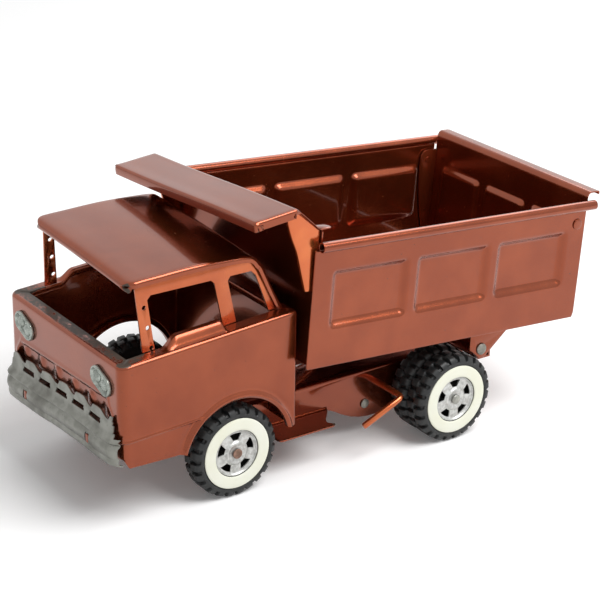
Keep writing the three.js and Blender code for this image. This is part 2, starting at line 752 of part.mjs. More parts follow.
// ---- bed ------------------------------------------------------------------------------------------------------
// Raised pad with sloping edges: its wide outline stands on x = 0 and its narrow face at x = -depth.
function padX(y0, y1, z0, z1, depth, bevel) {
  const block = new THREE.BoxGeometry(1, 1, 1);
  const at = block.getAttribute("position");
  for (let i = 0; i < at.count; i++) {
    const narrow = at.getX(i) < 0;
    const inset = narrow ? bevel : 0;
    at.setXYZ(
      i,
      narrow ? -depth : 0,
      at.getY(i) > 0 ? y1 - inset : y0 + inset,
      at.getZ(i) > 0 ? z1 - inset : z0 + inset,
    );
  }
  return solid(block);
}

function bedSolid() {
  const outline = [
    [BED_FRONT, BED_LOW],
    [BED_REAR - 1, BED_LOW],
    [BED_REAR, BED_LOW + 2],
    [BED_REAR + 0.6, BED_HIGH],
    [BED_FRONT, BED_HIGH],
  ];
  const side = alongX(outline, BED_HALF - SHEET, BED_HALF);
  const rail = barX(RAIL_RADIUS, 0, RAIL_REAR - RAIL_FRONT, 0, 0, 16).rotate([0, 0, 90]);
  const bore = barX(RAIL_BORE, -1, 11, 0, 0, 12).rotate([0, 0, 90]);
  const railX = BED_HALF + RAIL_OFFSET;
  const railZ = BED_HIGH + 1.8;
  const railSolid = cut(rail, [bore, move(bore, 0, RAIL_REAR - RAIL_FRONT - 10, 0)]);
  const pads = [];
  const dents = [];
  for (let i = 0; i < PANEL_COUNT; i++) {
    const start = PANEL_START + i * PANEL_PITCH;
    const end = start + PANEL_LENGTH;
    pads.push(move(padX(start, end, PANEL_LOW, PANEL_HIGH, PANEL_DEPTH + SHEET, PANEL_BEVEL), BED_HALF, 0, 0));
    dents.push(
      move(
        padX(start + 0.8, end - 0.8, PANEL_LOW + 0.8, PANEL_HIGH - 0.8, PANEL_DEPTH + 0.02, PANEL_BEVEL - 0.2),
        BED_HALF + 0.02,
        0,
        0,
      ),
    );
  }
  const left = cut(union([side, ...pads, move(railSolid, railX, RAIL_FRONT, railZ)]), dents);
  const floor = box(
    -BED_HALF + SHEET / 2,
    BED_HALF - SHEET / 2,
    FRONT_PANEL_Y + SHEET + SEAT_GAP,
    BED_REAR - 1,
    BED_LOW,
    BED_LOW + SHEET,
  );
  const rivetHole = barX(2 + SEAT_GAP / 3, -BED_HALF - 1, BED_HALF + 1, TAILGATE_PIVOT.y, TAILGATE_PIVOT.z, 16);
  return cut(union([left, mirror(left), floor]), [rivetHole]);
}

// Front panel of the bed, its top edge racked with the canopy.
function frontPanelSolid() {
  const half = BED_HALF - SHEET - SEAT_GAP;
  const top = CANOPY_FOOT_HEIGHT - 1;
  const sheet = alongY(
    [
      [-half, BED_LOW],
      [half, BED_LOW],
      [half, top + CANOPY_LEAN * half],
      [-half, top - CANOPY_LEAN * half],
    ],
    FRONT_PANEL_Y,
    FRONT_PANEL_Y + SHEET,
  );
  return sheet;
}

const canopyLine = () => [
  [CANOPY_FRONT + 0.6, CANOPY_FRONT_HEIGHT - CANOPY_LIP],
  [CANOPY_FRONT, CANOPY_FRONT_HEIGHT - 1],
  [CANOPY_FRONT + 1, CANOPY_FRONT_HEIGHT],
  [CANOPY_RIDGE - 0.6, CANOPY_RIDGE_HEIGHT],
  [CANOPY_RIDGE + 0.8, CANOPY_RIDGE_HEIGHT - 0.4],
  [FRONT_PANEL_Y + SHEET, CANOPY_FOOT_HEIGHT + 0.2],
];

function canopySolid() {
  const sheet = alongX(strip(canopyLine()), -CANOPY_HALF, CANOPY_HALF);
  const line = canopyLine();
  const hem = alongX(
    [...line.slice(0, 5), [CANOPY_RIDGE + 1.6, CANOPY_RIDGE_HEIGHT - CANOPY_LIP * 0.8]],
    CANOPY_HALF - SHEET,
    CANOPY_HALF,
  );
  const tab = alongZ(
    [
      [66, FRONT_PANEL_Y],
      [74, FRONT_PANEL_Y],
      [74, FRONT_PANEL_Y + 7],
      [71.6, FRONT_PANEL_Y + 9],
      [68.4, FRONT_PANEL_Y + 9],
      [66, FRONT_PANEL_Y + 7],
    ],
    CANOPY_FOOT_HEIGHT - 1,
    CANOPY_FOOT_HEIGHT + 0.1,
  );
  // the slope narrows to pass between the bed sides
  const narrow = alongZ(
    [
      [CANOPY_HALF + 0.01, CANOPY_RIDGE + 2],
      [CANOPY_HALF + 5, CANOPY_RIDGE + 2],
      [CANOPY_HALF + 5, FRONT_PANEL_Y + 5],
      [CHEEK_FACE, FRONT_PANEL_Y + 5],
      [CHEEK_FACE, FRONT_PANEL_Y - 4],
    ],
    100,
    200,
  );
  return lean(cut(union([sheet, tab, mirror(tab), hem, mirror(hem)]), [narrow, mirror(narrow)]), CANOPY_LEAN);
}

// Cheek under each end of the canopy, tapering down the bed's front edge.
function cheekSolid(side) {
  const outline = [
    [35.9, 110],
    [FRONT_PANEL_Y - SEAT_GAP, 110],
    [FRONT_PANEL_Y - SEAT_GAP, CANOPY_FOOT_HEIGHT],
    [CANOPY_RIDGE + 0.8, CANOPY_RIDGE_HEIGHT],
    [18.6, CANOPY_RIDGE_HEIGHT],
    [18.6, 153.6],
    [27.1, 135.2],
  ];
  const plate = alongX(outline, CHEEK_FACE - SHEET, CHEEK_FACE);
  const placed = side > 0 ? plate : mirror(plate);
  const cover = strip(canopyLine(), SHEET + SEAT_GAP);
  const above = [...canopyLine(), [90, 145], [90, 230], [-40, 230], [-40, 150]];
  const across = CANOPY_HALF + 10;
  const canopyRoom = alongX(cover, -across, across).add(alongX(above, -across, across));
  return lean(placed.subtract(canopyRoom), CANOPY_LEAN);
}

function earSolid(side) {
  const outline = [
    [PIVOT.y - 9.5, BED_LOW - SEAT_GAP],
    [PIVOT.y - 9.5, PIVOT.z - 8],
    [PIVOT.y + 2, PIVOT.z - 6.2],
    [PIVOT.y + 5, PIVOT.z - 4.6],
    [PIVOT.y + 23.5, BED_LOW - SEAT_GAP],
  ];
  const tyreRoom = barX(
    TYRE_RADIUS + EAR_TYRE_CLEARANCE,
    0,
    100,
    (WHEELBASE - PIVOT.y) * Math.cos(REST) - (TYRE_RADIUS - PIVOT.z) * Math.sin(REST) + PIVOT.y,
    (WHEELBASE - PIVOT.y) * Math.sin(REST) + (TYRE_RADIUS - PIVOT.z) * Math.cos(REST) + PIVOT.z,
    40,
  );
  const plate = cut(alongX(outline, EAR_FACE - SHEET, EAR_FACE), [
    tyreRoom,
    barX(PIVOT_RIVET_RADIUS + SEAT_GAP / 3, EAR_FACE - 5, EAR_FACE + 5, PIVOT.y, PIVOT.z),
  ]);
  const foot = box(EAR_FACE - 8, EAR_FACE, PIVOT.y - 9.5, PIVOT.y + 23.5, BED_LOW - SEAT_GAP - SHEET, BED_LOW - SEAT_GAP);
  const ear = plate.add(foot);
  return side > 0 ? ear : mirror(ear);
}

// ---- tailgate -------------------------------------------------------------------------------------------------
function tailgateSolid() {
  const half = BED_HALF - SHEET - 2 * SEAT_GAP;
  const low = BED_LOW + 2;
  const sheet = strip(
    [
      [BED_REAR - 1.4, low],
      [GATE_FACE, GATE_TOP - 0.8],
      [GATE_FACE + 0.6, GATE_TOP],
      [GATE_FACE + GATE_FLANGE, GATE_TOP],
    ],
    SHEET,
  );
  const plate = alongX(sheet, -half, half);
  const top = TAILGATE_PIVOT.z + 7;
  const ear = alongX(
    [
      [GATE_FACE - 0.6, low + 2],
      [GATE_FACE - 0.6, top],
      [TAILGATE_PIVOT.y - 1, top],
      [TAILGATE_PIVOT.y - 6, top - 4],
      [TAILGATE_PIVOT.y - 6.5, TAILGATE_PIVOT.z - 8],
      [GATE_FACE - 8.5, low + 10],
    ].reverse(),
    half - SHEET,
    half,
  );
  const { low: padLow, high: padHigh, gap, margin } = GATE_PANEL;
  const width = (2 * (half - margin) - gap * (PANEL_COUNT - 1)) / PANEL_COUNT;
  const pads = [];
  const dents = [];
  const face = (z) => mix(BED_REAR - 1.4, GATE_FACE, (z - low) / (GATE_TOP - low));
  const slope = Math.atan2(face(padHigh) - face(padLow), padHigh - padLow) / DEG;
  for (let i = 0; i < PANEL_COUNT; i++) {
    const start = -half + margin + i * (width + gap);
    const centre = (padLow + padHigh) / 2;
    // turned to push into the bed, and laid along the sheet's slope
    const lay = (pad, out) =>
      move(pad.rotate([0, 0, 90]).rotate([-slope, 0, 0]), 0, face(centre) + SHEET + out, centre);
    const pad = padX(start, start + width, padLow - centre, padHigh - centre, PANEL_DEPTH + SHEET, PANEL_BEVEL);
    const dent = padX(
      start + 0.8,
      start + width - 0.8,
      padLow - centre + 0.8,
      padHigh - centre - 0.8,
      PANEL_DEPTH + 0.05,
      PANEL_BEVEL - 0.2,
    );
    pads.push(lay(pad, 0));
    dents.push(lay(dent, 0.05));
  }
  const hole = barX(2 + RUNNING_GAP, -half - 1, half + 1, TAILGATE_PIVOT.y, TAILGATE_PIVOT.z, 16);
  return cut(union([plate, ear, mirror(ear), ...pads]), [...dents, hole]);
}

// ---- lever ----------------------------------------------------------------------------------------------------
// Sharp corners of a rod's path rounded to a bend radius.
function bentPath(corners, radius) {
  const path = new THREE.CurvePath();
  const points = corners.map((corner) => new THREE.Vector3(...corner));
  let from = points[0];
  for (let i = 1; i < points.length - 1; i++) {
    const back = points[i - 1].clone().sub(points[i]).normalize().multiplyScalar(radius).add(points[i]);
    const ahead = points[i + 1].clone().sub(points[i]).normalize().multiplyScalar(radius).add(points[i]);
    path.add(new THREE.LineCurve3(from, back));
    path.add(new THREE.QuadraticBezierCurve3(back, points[i], ahead));
    from = ahead;
  }
  path.add(new THREE.LineCurve3(from, points[points.length - 1]));
  return path;
}

function lifterAngle() {
  const rise = BED_LOW - SEAT_GAP - LEVER_ROD - PIVOT.z;
  const span = PIVOT.y - LEVER.y;
  const climb = PIVOT.z - LEVER.z;
  const sine = (rise + span * Math.sin(REST) + climb * Math.cos(REST)) / LIFTER_LENGTH;
  return Math.asin(sine) + REST;
}

// One round rod: handle outside the left flange, shaft through both flanges, and a crank that carries the bed.
function leverSolid() {
  const lift = lifterAngle();
  const drop = LEVER_HANDLE.drop * DEG;
  const tip = [LEVER.y - LIFTER_LENGTH * Math.cos(lift), LEVER.z + LIFTER_LENGTH * Math.sin(lift)];
  const grip = [LEVER.y - LEVER_HANDLE.length * Math.cos(drop), LEVER.z - LEVER_HANDLE.length * Math.sin(drop)];
  const corners = [
    [LEVER_HANDLE.x, ...grip],
    [LEVER_HANDLE.x, LEVER.y, LEVER.z],
    [LIFTER_HALF, LEVER.y, LEVER.z],
    [LIFTER_HALF, ...tip],
    [-LIFTER_HALF, ...tip],
    [-LIFTER_HALF, LEVER.y, LEVER.z],
    [-CHASSIS_HALF - 6, LEVER.y, LEVER.z],
  ];
  const path = bentPath(corners, LEVER_BEND);
  const section = new THREE.Shape(circle(0, 0, LEVER_ROD, 10).map(([u, v]) => new THREE.Vector2(u, v)));
  return solid(new THREE.ExtrudeGeometry(section, { steps: 44, extrudePath: path }));
}

function retainerSolid() {
  const start = -CHASSIS_HALF - SEAT_GAP - 1.6;
  const ring = [circle(LEVER.y, LEVER.z, LEVER_ROD + SEAT_GAP / 3, 16).reverse()];
  return alongX(circle(LEVER.y, LEVER.z, LEVER_ROD + 2.6, 16), start, start + 1.6, ring);
}

// ---- assembly -------------------------------------------------------------------------------------------------
const truck = new THREE.Group();
truck.name = "toy_dump_truck";

const bed = new THREE.Group();
bed.name = "bed_group";
truck.add(bed);

function place(name, body, look, group = truck) {
  const mesh = new THREE.Mesh(geometryOf(body), new THREE.MeshStandardMaterial(look));
  mesh.name = name;
  group.add(mesh);
  return mesh;
}

place("chassis_frame", chassisSolid(), ENAMEL);
place("rear_crossmember", crossmemberSolid(), ENAMEL);
const flankRivet = rivetSolid(FLANK_RIVET.radius * 0.6, FLANK_RIVET.radius, CHASSIS_HALF - 2, CHASSIS_HALF + SEAT_GAP);
for (const [label, side] of [
  ["left", 1],
  ["right", -1],
]) {
  const seated = move(flankRivet, 0, FLANK_RIVET.y, FLANK_RIVET.z);
  place("chassis_rivet_" + label, side > 0 ? seated : mirror(seated), ENAMEL_DARK);
}
place("cab_body", cabSolid(), ENAMEL);
place("cab_roof", roofSolid(), ENAMEL_DARK);
place("cab_side_frame_left", sideFrameSolid(1), ENAMEL);
place("cab_side_frame_right", sideFrameSolid(-1), ENAMEL);
place("grille_bumper", bumperSolid(), ZINC);
place("headlight_left", lampSolid(1), SILVER);
place("headlight_right", lampSolid(-1), SILVER);
place("front_axle", move(axleSolid(FRONT_WHEEL_FACE), 0, 0, TYRE_RADIUS), COPPERY);
place("rear_axle", move(axleSolid(REAR_WHEEL_FACE), 0, WHEELBASE, TYRE_RADIUS), ZINC);

// Wheels: outer ones carry a whitewall ring and face outwards, inner ones face outwards behind them.
const tyre = tyreSolid();
const hub = hubSolid(true);
const plainHub = hubSolid(false);
const whitewall = whitewallSolid();
function placeWheel(prefix, label, side, face, axleY, outerWheel) {
  const set = (name, body, look) => {
    const mesh = place(name, side > 0 ? body : mirror(body), look);
    mesh.position.set(side * face, axleY, TYRE_RADIUS);
  };
  set(prefix + "_tyre_" + label, tyre, RUBBER);
  set(prefix + "_hub_" + label, outerWheel ? hub : plainHub, SILVER);
  if (outerWheel) set(prefix + "_whitewall_" + label, whitewall, WHITE_VINYL);
}
for (const [label, side] of [
  ["left", 1],
  ["right", -1],
]) {
  placeWheel("front", label, side, FRONT_WHEEL_FACE, 0, true);
  placeWheel("rear_outer", label, side, REAR_WHEEL_FACE, WHEELBASE, true);
  placeWheel("rear_inner", label, side, REAR_WHEEL_FACE - TYRE_WIDTH - DUAL_GAP, WHEELBASE, false);
}

place("bed_body", bedSolid(), ENAMEL, bed);
place("bed_front_panel", frontPanelSolid(), ENAMEL, bed);
place("bed_canopy", canopySolid(), ENAMEL_DARK, bed);
place("tailgate", tailgateSolid(), ENAMEL, bed);
for (const [label, side] of [
  ["left", 1],
  ["right", -1],
]) {
  place("canopy_cheek_" + label, cheekSolid(side), ENAMEL, bed);
  place("pivot_ear_" + label, earSolid(side), ENAMEL, bed);
  const pivot = rivetSolid(
    PIVOT_RIVET_RADIUS,
    PIVOT_HEAD_RADIUS,
    EAR_FACE - 2 * SHEET - 2 * SEAT_GAP - 0.8,
    EAR_FACE + SEAT_GAP / 2,
    1.3,
  );
  const hinge = rivetSolid(2, 3.5, BED_HALF - 2 * SHEET - SEAT_GAP - 1, BED_HALF + SEAT_GAP / 2);
  const pivotSeated = move(pivot, 0, PIVOT.y, PIVOT.z);
  const hingeSeated = move(hinge, 0, TAILGATE_PIVOT.y, TAILGATE_PIVOT.z);
  place("pivot_rivet_" + label, side > 0 ? pivotSeated : mirror(pivotSeated), ZINC, bed);
  place("tailgate_rivet_" + label, side > 0 ? hingeSeated : mirror(hingeSeated), ENAMEL, bed);
}

// The whole bed stands raised about its pivot.
const toPivot = new THREE.Matrix4().makeTranslation(0, PIVOT.y, PIVOT.z);
const fromPivot = new THREE.Matrix4().makeTranslation(0, -PIVOT.y, -PIVOT.z);
const raise = new THREE.Matrix4().makeRotationX(-REST);
bed.applyMatrix4(toPivot.multiply(raise).multiply(fromPivot));

place("lever_rod", leverSolid(), ENAMEL);
place("lever_retainer", retainerSolid(), ZINC);

// Bounding box centred on the origin, tyres on z = 0.
const extent = new THREE.Box3().setFromObject(truck, true);
const centre = extent.getCenter(new THREE.Vector3());
truck.position.set(-centre.x, -centre.y, -extent.min.z);

export default truck;
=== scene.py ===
import json
import math

import bmesh
import bpy
import numpy as np
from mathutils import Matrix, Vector


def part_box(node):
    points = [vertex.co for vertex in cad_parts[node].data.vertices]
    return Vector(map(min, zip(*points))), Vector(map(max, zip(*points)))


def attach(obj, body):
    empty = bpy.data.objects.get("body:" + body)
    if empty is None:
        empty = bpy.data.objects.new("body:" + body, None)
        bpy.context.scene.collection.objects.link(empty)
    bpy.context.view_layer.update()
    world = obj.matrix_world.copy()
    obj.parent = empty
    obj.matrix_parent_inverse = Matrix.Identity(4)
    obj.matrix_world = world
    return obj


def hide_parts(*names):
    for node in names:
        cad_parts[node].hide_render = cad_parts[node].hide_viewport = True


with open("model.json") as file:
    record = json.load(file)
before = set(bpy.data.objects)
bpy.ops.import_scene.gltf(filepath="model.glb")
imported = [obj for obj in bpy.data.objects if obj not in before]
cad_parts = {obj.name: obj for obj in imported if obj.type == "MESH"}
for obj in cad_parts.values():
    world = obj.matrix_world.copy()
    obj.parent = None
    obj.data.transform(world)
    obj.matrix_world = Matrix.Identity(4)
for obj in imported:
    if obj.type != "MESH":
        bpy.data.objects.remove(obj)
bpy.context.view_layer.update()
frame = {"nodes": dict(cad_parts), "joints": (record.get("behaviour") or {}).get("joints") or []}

# ---- chassis frame ------------------------------------------------------------------------------------------
# One folded steel channel, open below, whose flanges deepen beside the rear axle and turn out into two running
# boards. It is stamped, folded and dipped in copper-brown baked enamel, and everything else bolts or rivets to it.
MM = 0.001
axle_low, axle_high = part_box("front_axle")
AXLE_Y = (axle_low.y + axle_high.y) / 2 / MM


def new_group(name, inputs, outputs):
    """A shader node group with named sockets; returns it with its input and output nodes."""
    group = bpy.data.node_groups.new(name, "ShaderNodeTree")
    for label, kind, value in inputs:
        socket = group.interface.new_socket(label, in_out="INPUT", socket_type=kind)
        if value is not None:
            socket.default_value = value
    for label, kind in outputs:
        group.interface.new_socket(label, in_out="OUTPUT", socket_type=kind)
    return group, group.nodes.new("NodeGroupInput"), group.nodes.new("NodeGroupOutput")


def noise(tree, vector, scale, detail=3.0, roughness=0.55):
    """A noise texture read at object coordinates in metres."""
    node = tree.nodes.new("ShaderNodeTexNoise")
    node.inputs["Scale"].default_value = scale
    node.inputs["Detail"].default_value = detail
    node.inputs["Roughness"].default_value = roughness
    tree.links.new(vector, node.inputs["Vector"])
    return node.outputs["Fac"]


def ramp(tree, value, low, high, out_low=0.0, out_high=1.0):
    """Value carried from one range to another with soft ends."""
    node = tree.nodes.new("ShaderNodeMapRange")
    node.interpolation_type = "SMOOTHSTEP"
    node.inputs["From Min"].default_value = low
    node.inputs["From Max"].default_value = high
    node.inputs["To Min"].default_value = out_low
    node.inputs["To Max"].default_value = out_high
    tree.links.new(value, node.inputs["Value"])
    return node.outputs["Result"]


def maths(tree, kind, first, second):
    """One sum, product or comparison of two values, either of which may be a plain number."""
    node = tree.nodes.new("ShaderNodeMath")
    node.operation = kind
    for slot, value in zip(node.inputs, (first, second)):
        if isinstance(value, (int, float)):
            slot.default_value = value
        else:
            tree.links.new(value, slot)
    return node.outputs[0]


def blend_colour(tree, amount, first, second):
    """The first colour turning into the second."""
    node = tree.nodes.new("ShaderNodeMix")
    node.data_type = "RGBA"
    tree.links.new(amount, node.inputs["Factor"])
    for socket, value in ((node.inputs[6], first), (node.inputs[7], second)):
        if isinstance(value, tuple):
            socket.default_value = value
        else:
            tree.links.new(value, socket)
    return node.outputs[2]


def enamel_group():
    """Baked metallic enamel: cloudy tone, fine flake, small specks, and paint worn to dull metal where Wear is high.
    Wear passes a noise threshold, so that bare patches have ragged edges and lone chips lie round them."""
    group, inside, outside = new_group(
        "worn_enamel",
        [
            ("Vector", "NodeSocketVector", None),
            ("Paint", "NodeSocketColor", (0.225, 0.042, 0.012, 1)),
            ("Bright", "NodeSocketColor", (0.275, 0.056, 0.017, 1)),
            ("Bare", "NodeSocketColor", (0.062, 0.044, 0.032, 1)),
            ("Wear", "NodeSocketFloat", 0.0),
            ("Gloss", "NodeSocketFloat", 0.3),
        ],
        [
            ("Color", "NodeSocketColor"),
            ("Roughness", "NodeSocketFloat"),
            ("Metal", "NodeSocketFloat"),
            ("Coat", "NodeSocketFloat"),
            ("Height", "NodeSocketFloat"),
        ],
    )
    where = inside.outputs["Vector"]
    cloud = ramp(group, noise(group, where, 34, 4), 0.3, 0.7)
    flake = noise(group, where, 2600, 1)
    grime = ramp(group, noise(group, where, 120, 5, 0.65), 0.52, 0.8, 0, 0.14)
    specks = ramp(group, noise(group, where, 520, 2), 0.735, 0.765)
    ragged = noise(group, where, 420, 5, 0.7)
    patchy = noise(group, where, 70, 4, 0.6)
    reach = maths(group, "ADD", maths(group, "MULTIPLY", ragged, 0.55), maths(group, "MULTIPLY", patchy, 0.45))
    chipped = ramp(group, maths(group, "ADD", inside.outputs["Wear"], reach), 1.0, 1.12)
    bare = maths(group, "MAXIMUM", chipped, maths(group, "MULTIPLY", specks, 0.6))
    tone = blend_colour(group, cloud, inside.outputs["Paint"], inside.outputs["Bright"])
    dusty = blend_colour(group, grime, tone, (0.16, 0.05, 0.025, 1))
    colour = blend_colour(group, bare, dusty, inside.outputs["Bare"])
    rough = maths(group, "ADD", inside.outputs["Gloss"], maths(group, "MULTIPLY", cloud, 0.06))
    rough = maths(group, "ADD", rough, maths(group, "MULTIPLY", bare, 0.28))
    height = maths(group, "MULTIPLY", flake, 0.12)
    height = maths(group, "ADD", height, maths(group, "MULTIPLY", patchy, 0.5))
    height = maths(group, "SUBTRACT", height, maths(group, "MULTIPLY", bare, 0.6))
    metal = maths(group, "SUBTRACT", 0.86, maths(group, "MULTIPLY", bare, 0.5))
    coat = maths(group, "SUBTRACT", 0.6, maths(group, "MULTIPLY", bare, 0.5))
    for label, value in (
        ("Color", colour),
        ("Roughness", rough),
        ("Metal", metal),
        ("Coat", coat),
        ("Height", height),
    ):
        group.links.new(value, outside.inputs[label])
    return group


def finish_material(name, group, values, links, settings, bump=0.0003, wear_attribute=None):
    """A Principled material whose varying inputs come from one node group and whose plain settings are its own."""
    material = bpy.data.materials.new(name)
    material.use_nodes = True
    tree = material.node_tree
    shader = tree.nodes["Principled BSDF"]
    places = tree.nodes.new("ShaderNodeTexCoord")
    look = tree.nodes.new("ShaderNodeGroup")
    look.node_tree = group
    tree.links.new(places.outputs["Object"], look.inputs["Vector"])
    for label, value in values.items():
        look.inputs[label].default_value = value
    if wear_attribute:
        marks = tree.nodes.new("ShaderNodeAttribute")
        marks.attribute_name = wear_attribute
        tree.links.new(marks.outputs["Fac"], look.inputs["Wear"])
    for source, target in links:
        tree.links.new(look.outputs[source], shader.inputs[target])
    for label, value in settings.items():
        shader.inputs[label].default_value = value
    relief = tree.nodes.new("ShaderNodeBump")
    relief.inputs["Strength"].default_value = 0.35
    relief.inputs["Distance"].default_value = bump
    tree.links.new(look.outputs["Height"], relief.inputs["Height"])
    tree.links.new(relief.outputs["Normal"], shader.inputs["Normal"])
    return material


worn_enamel = enamel_group()
ENAMEL_LINKS = (("Color", "Base Color"), ("Roughness", "Roughness"), ("Metal", "Metallic"), ("Coat", "Coat Weight"))
ENAMEL_SETTINGS = {"Coat Roughness": 0.05, "Coat IOR": 1.45, "IOR": 1.5}


def copper_enamel(name, **values):
    """Copper-brown baked enamel in the tone that the given group values set."""
    return finish_material(name, worn_enamel, values, ENAMEL_LINKS, ENAMEL_SETTINGS, 0.00012, "wear")


def eased_copy(name, node, body, finish, ease=0.35):
    """A copy of a CAD node's skin, joined up, its flat faces made whole and its edges rounded by ease millimetres."""
    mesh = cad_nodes[node].data.copy()
    shape = bmesh.new()
    shape.from_mesh(mesh)
    bmesh.ops.remove_doubles(shape, verts=shape.verts, dist=1e-6)
    bmesh.ops.dissolve_limit(shape, angle_limit=math.radians(1), verts=shape.verts, edges=shape.edges)
    shape.to_mesh(mesh)
    shape.free()
    mesh.materials.clear()
    piece = bpy.data.objects.new(name, mesh)
    bpy.context.scene.collection.objects.link(piece)
    return settle(piece, body, finish, (node,), ease=ease)


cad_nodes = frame["nodes"]


def settle(piece, body, finish, stands_for, thickness=0.0, side=-1, ease=0.0, sharp=38):
    """Gives a sheet its thickness and rounded rims, fixes the result in the mesh, and sets the piece on its body."""
    if thickness:
        wall = piece.modifiers.new("wall", "SOLIDIFY")
        wall.thickness = thickness * MM
        wall.offset = side
        wall.use_even_offset = False
    if ease:
        rim = piece.modifiers.new("rim", "BEVEL")
        rim.width = ease * MM
        rim.segments = 2
        rim.limit_method = "ANGLE"
        rim.angle_limit = math.radians(48)
    if thickness or ease:
        whole = bpy.data.meshes.new_from_object(piece.evaluated_get(bpy.context.evaluated_depsgraph_get()))
        piece.modifiers.clear()
        piece.data = whole
    piece.data.materials.clear()
    piece.data.materials.append(finish)
    piece.data.polygons.foreach_set("use_smooth", np.ones(len(piece.data.polygons), bool))
    piece.data.set_sharp_from_angle(angle=math.radians(sharp))
    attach(piece, body)
    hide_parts(*stands_for)
    return piece


frame_enamel = copper_enamel("chassis_enamel", Gloss=0.16, Paint=(0.2, 0.038, 0.013, 1), Bright=(0.24, 0.05, 0.017, 1))


def grid_quads(rows, columns, close_rows=False, close_columns=False, kept=None):
    """Quads of a grid: point (i, j) joins (i+1, j), (i+1, j+1) and (i, j+1), wrapping on a closed side."""
    i = np.arange(rows if close_rows else rows - 1)[:, None]
    j = np.arange(columns if close_columns else columns - 1)[None, :]
    ahead, along = (i + 1) % rows, (j + 1) % columns
    quads = np.stack(
        np.broadcast_arrays(i * columns + j, ahead * columns + j, ahead * columns + along, i * columns + along), -1
    )
    return quads.reshape(-1, 4) if kept is None else quads[kept]


def join_parts(parts):
    """Several (points, faces) parts as one list of points and one of faces."""
    points, faces, start = [], [], 0
    for part_points, part_faces in parts:
        part_points = np.asarray(part_points, float).reshape(-1, 3)
        points.append(part_points)
        part_faces = part_faces if isinstance(part_faces, list) else np.asarray(part_faces).tolist()
        faces += [[start + k for k in face] for face in part_faces]
        start += len(part_points)
    return np.concatenate(points), faces


def surface(name, points, faces, outward=None, wear=None, tilted=False):
    """Millimetre points, laid out from the front axle, as one mesh object at the origin with its faces outward.
    Outward is a direction that most faces look to, or nothing for a shell that faces away from its own middle."""
    points = np.asarray(points, float).reshape(-1, 3)
    if tilted:
        points = raised(points)
    placed = (points + [0, AXLE_Y, 0]) * MM
    mesh = bpy.data.meshes.new(name)
    mesh.from_pydata(placed.tolist(), [], faces if isinstance(faces, list) else np.asarray(faces).tolist())
    if wear is not None:
        marks = mesh.attributes.new("wear", "FLOAT", "POINT")
        marks.data.foreach_set("value", np.asarray(wear, np.float32).ravel())
    shape = bmesh.new()
    shape.from_mesh(mesh)
    bmesh.ops.remove_doubles(shape, verts=shape.verts, dist=2e-6)
    loose = [v for v in shape.verts if not v.link_faces]
    bmesh.ops.delete(shape, geom=loose, context="VERTS")
    if outward is None:
        bmesh.ops.recalc_face_normals(shape, faces=shape.faces)
    else:
        total = sum((f.normal * f.calc_area() for f in shape.faces), Vector())
        if total.dot(Vector(outward)) < 0:
            bmesh.ops.reverse_faces(shape, faces=shape.faces)
    shape.to_mesh(mesh)
    shape.free()
    piece = bpy.data.objects.new(name, mesh)
    bpy.context.scene.collection.objects.link(piece)
    return piece


def soft_step(value, low, high):
    """0 below low, 1 above high, and a smooth cubic rise between."""
    share = np.clip((value - low) / (high - low), 0, 1)
    return share * share * (3 - 2 * share)


def chassis_channel():
    """The folded sheet's section runs up the left flange, round a small bend, across the top and down the right one;
    it is carried along the truck, and the flanges' lower edge follows the deepening beside the rear axle. Cells over
    the crank's slot in the top are left out."""
    front, rear = -75.3, 190
    slot_front, slot_rear, slot_half = 54, 120, 13
    rows = [np.linspace(front, rear, 120), [slot_front, slot_rear], np.linspace(78, 116, 24), np.linspace(164, rear, 14)]
    y = np.unique(np.concatenate(rows))
    keel_y = [front, -51.3, -41.3, 80, 84, 88, 94, 101, 107, 114, 165, 172, 178, rear]
    keel_z = [40, 40, 26, 26, 24.6, 22.6, 19, 15.8, 14, 13, 13, 16, 21.4, 33.5]
    keel = np.interp(y, keel_y, keel_z)
    bend = np.linspace(0, math.pi / 2, 6)
    top, half, radius = 45.5, 42.5, 2.2
    up = np.linspace(0, 1, 12)[:-1]
    left = [(np.full(len(y), half), keel + (top - radius - keel) * share) for share in up]
    left += [
        (np.full(len(y), half - radius * (1 - math.cos(b))), np.full(len(y), top - radius * (1 - math.sin(b))))
        for b in bend
    ]
    across = [(np.full(len(y), x), np.full(len(y), top)) for x in (36, 30, 20, 13, 0)]
    section = left + across + [(-x, z) for x, z in (left + across[:-1])[::-1]]
    points = np.array([np.stack([x, y, z], -1) for x, z in section])
    middle_y = (y[1:] + y[:-1]) / 2
    middle_x = np.array([(a[0][0] + b[0][0]) / 2 for a, b in zip(section[:-1], section[1:])])
    slot = (np.abs(middle_x) < slot_half)[:, None] & ((middle_y > slot_front) & (middle_y < slot_rear))[None, :]
    flare = np.exp(-(((points[..., 2] - keel[None, :]) / 1.6) ** 2)) * 0.22
    return points, grid_quads(len(section), len(y), kept=~slot), flare


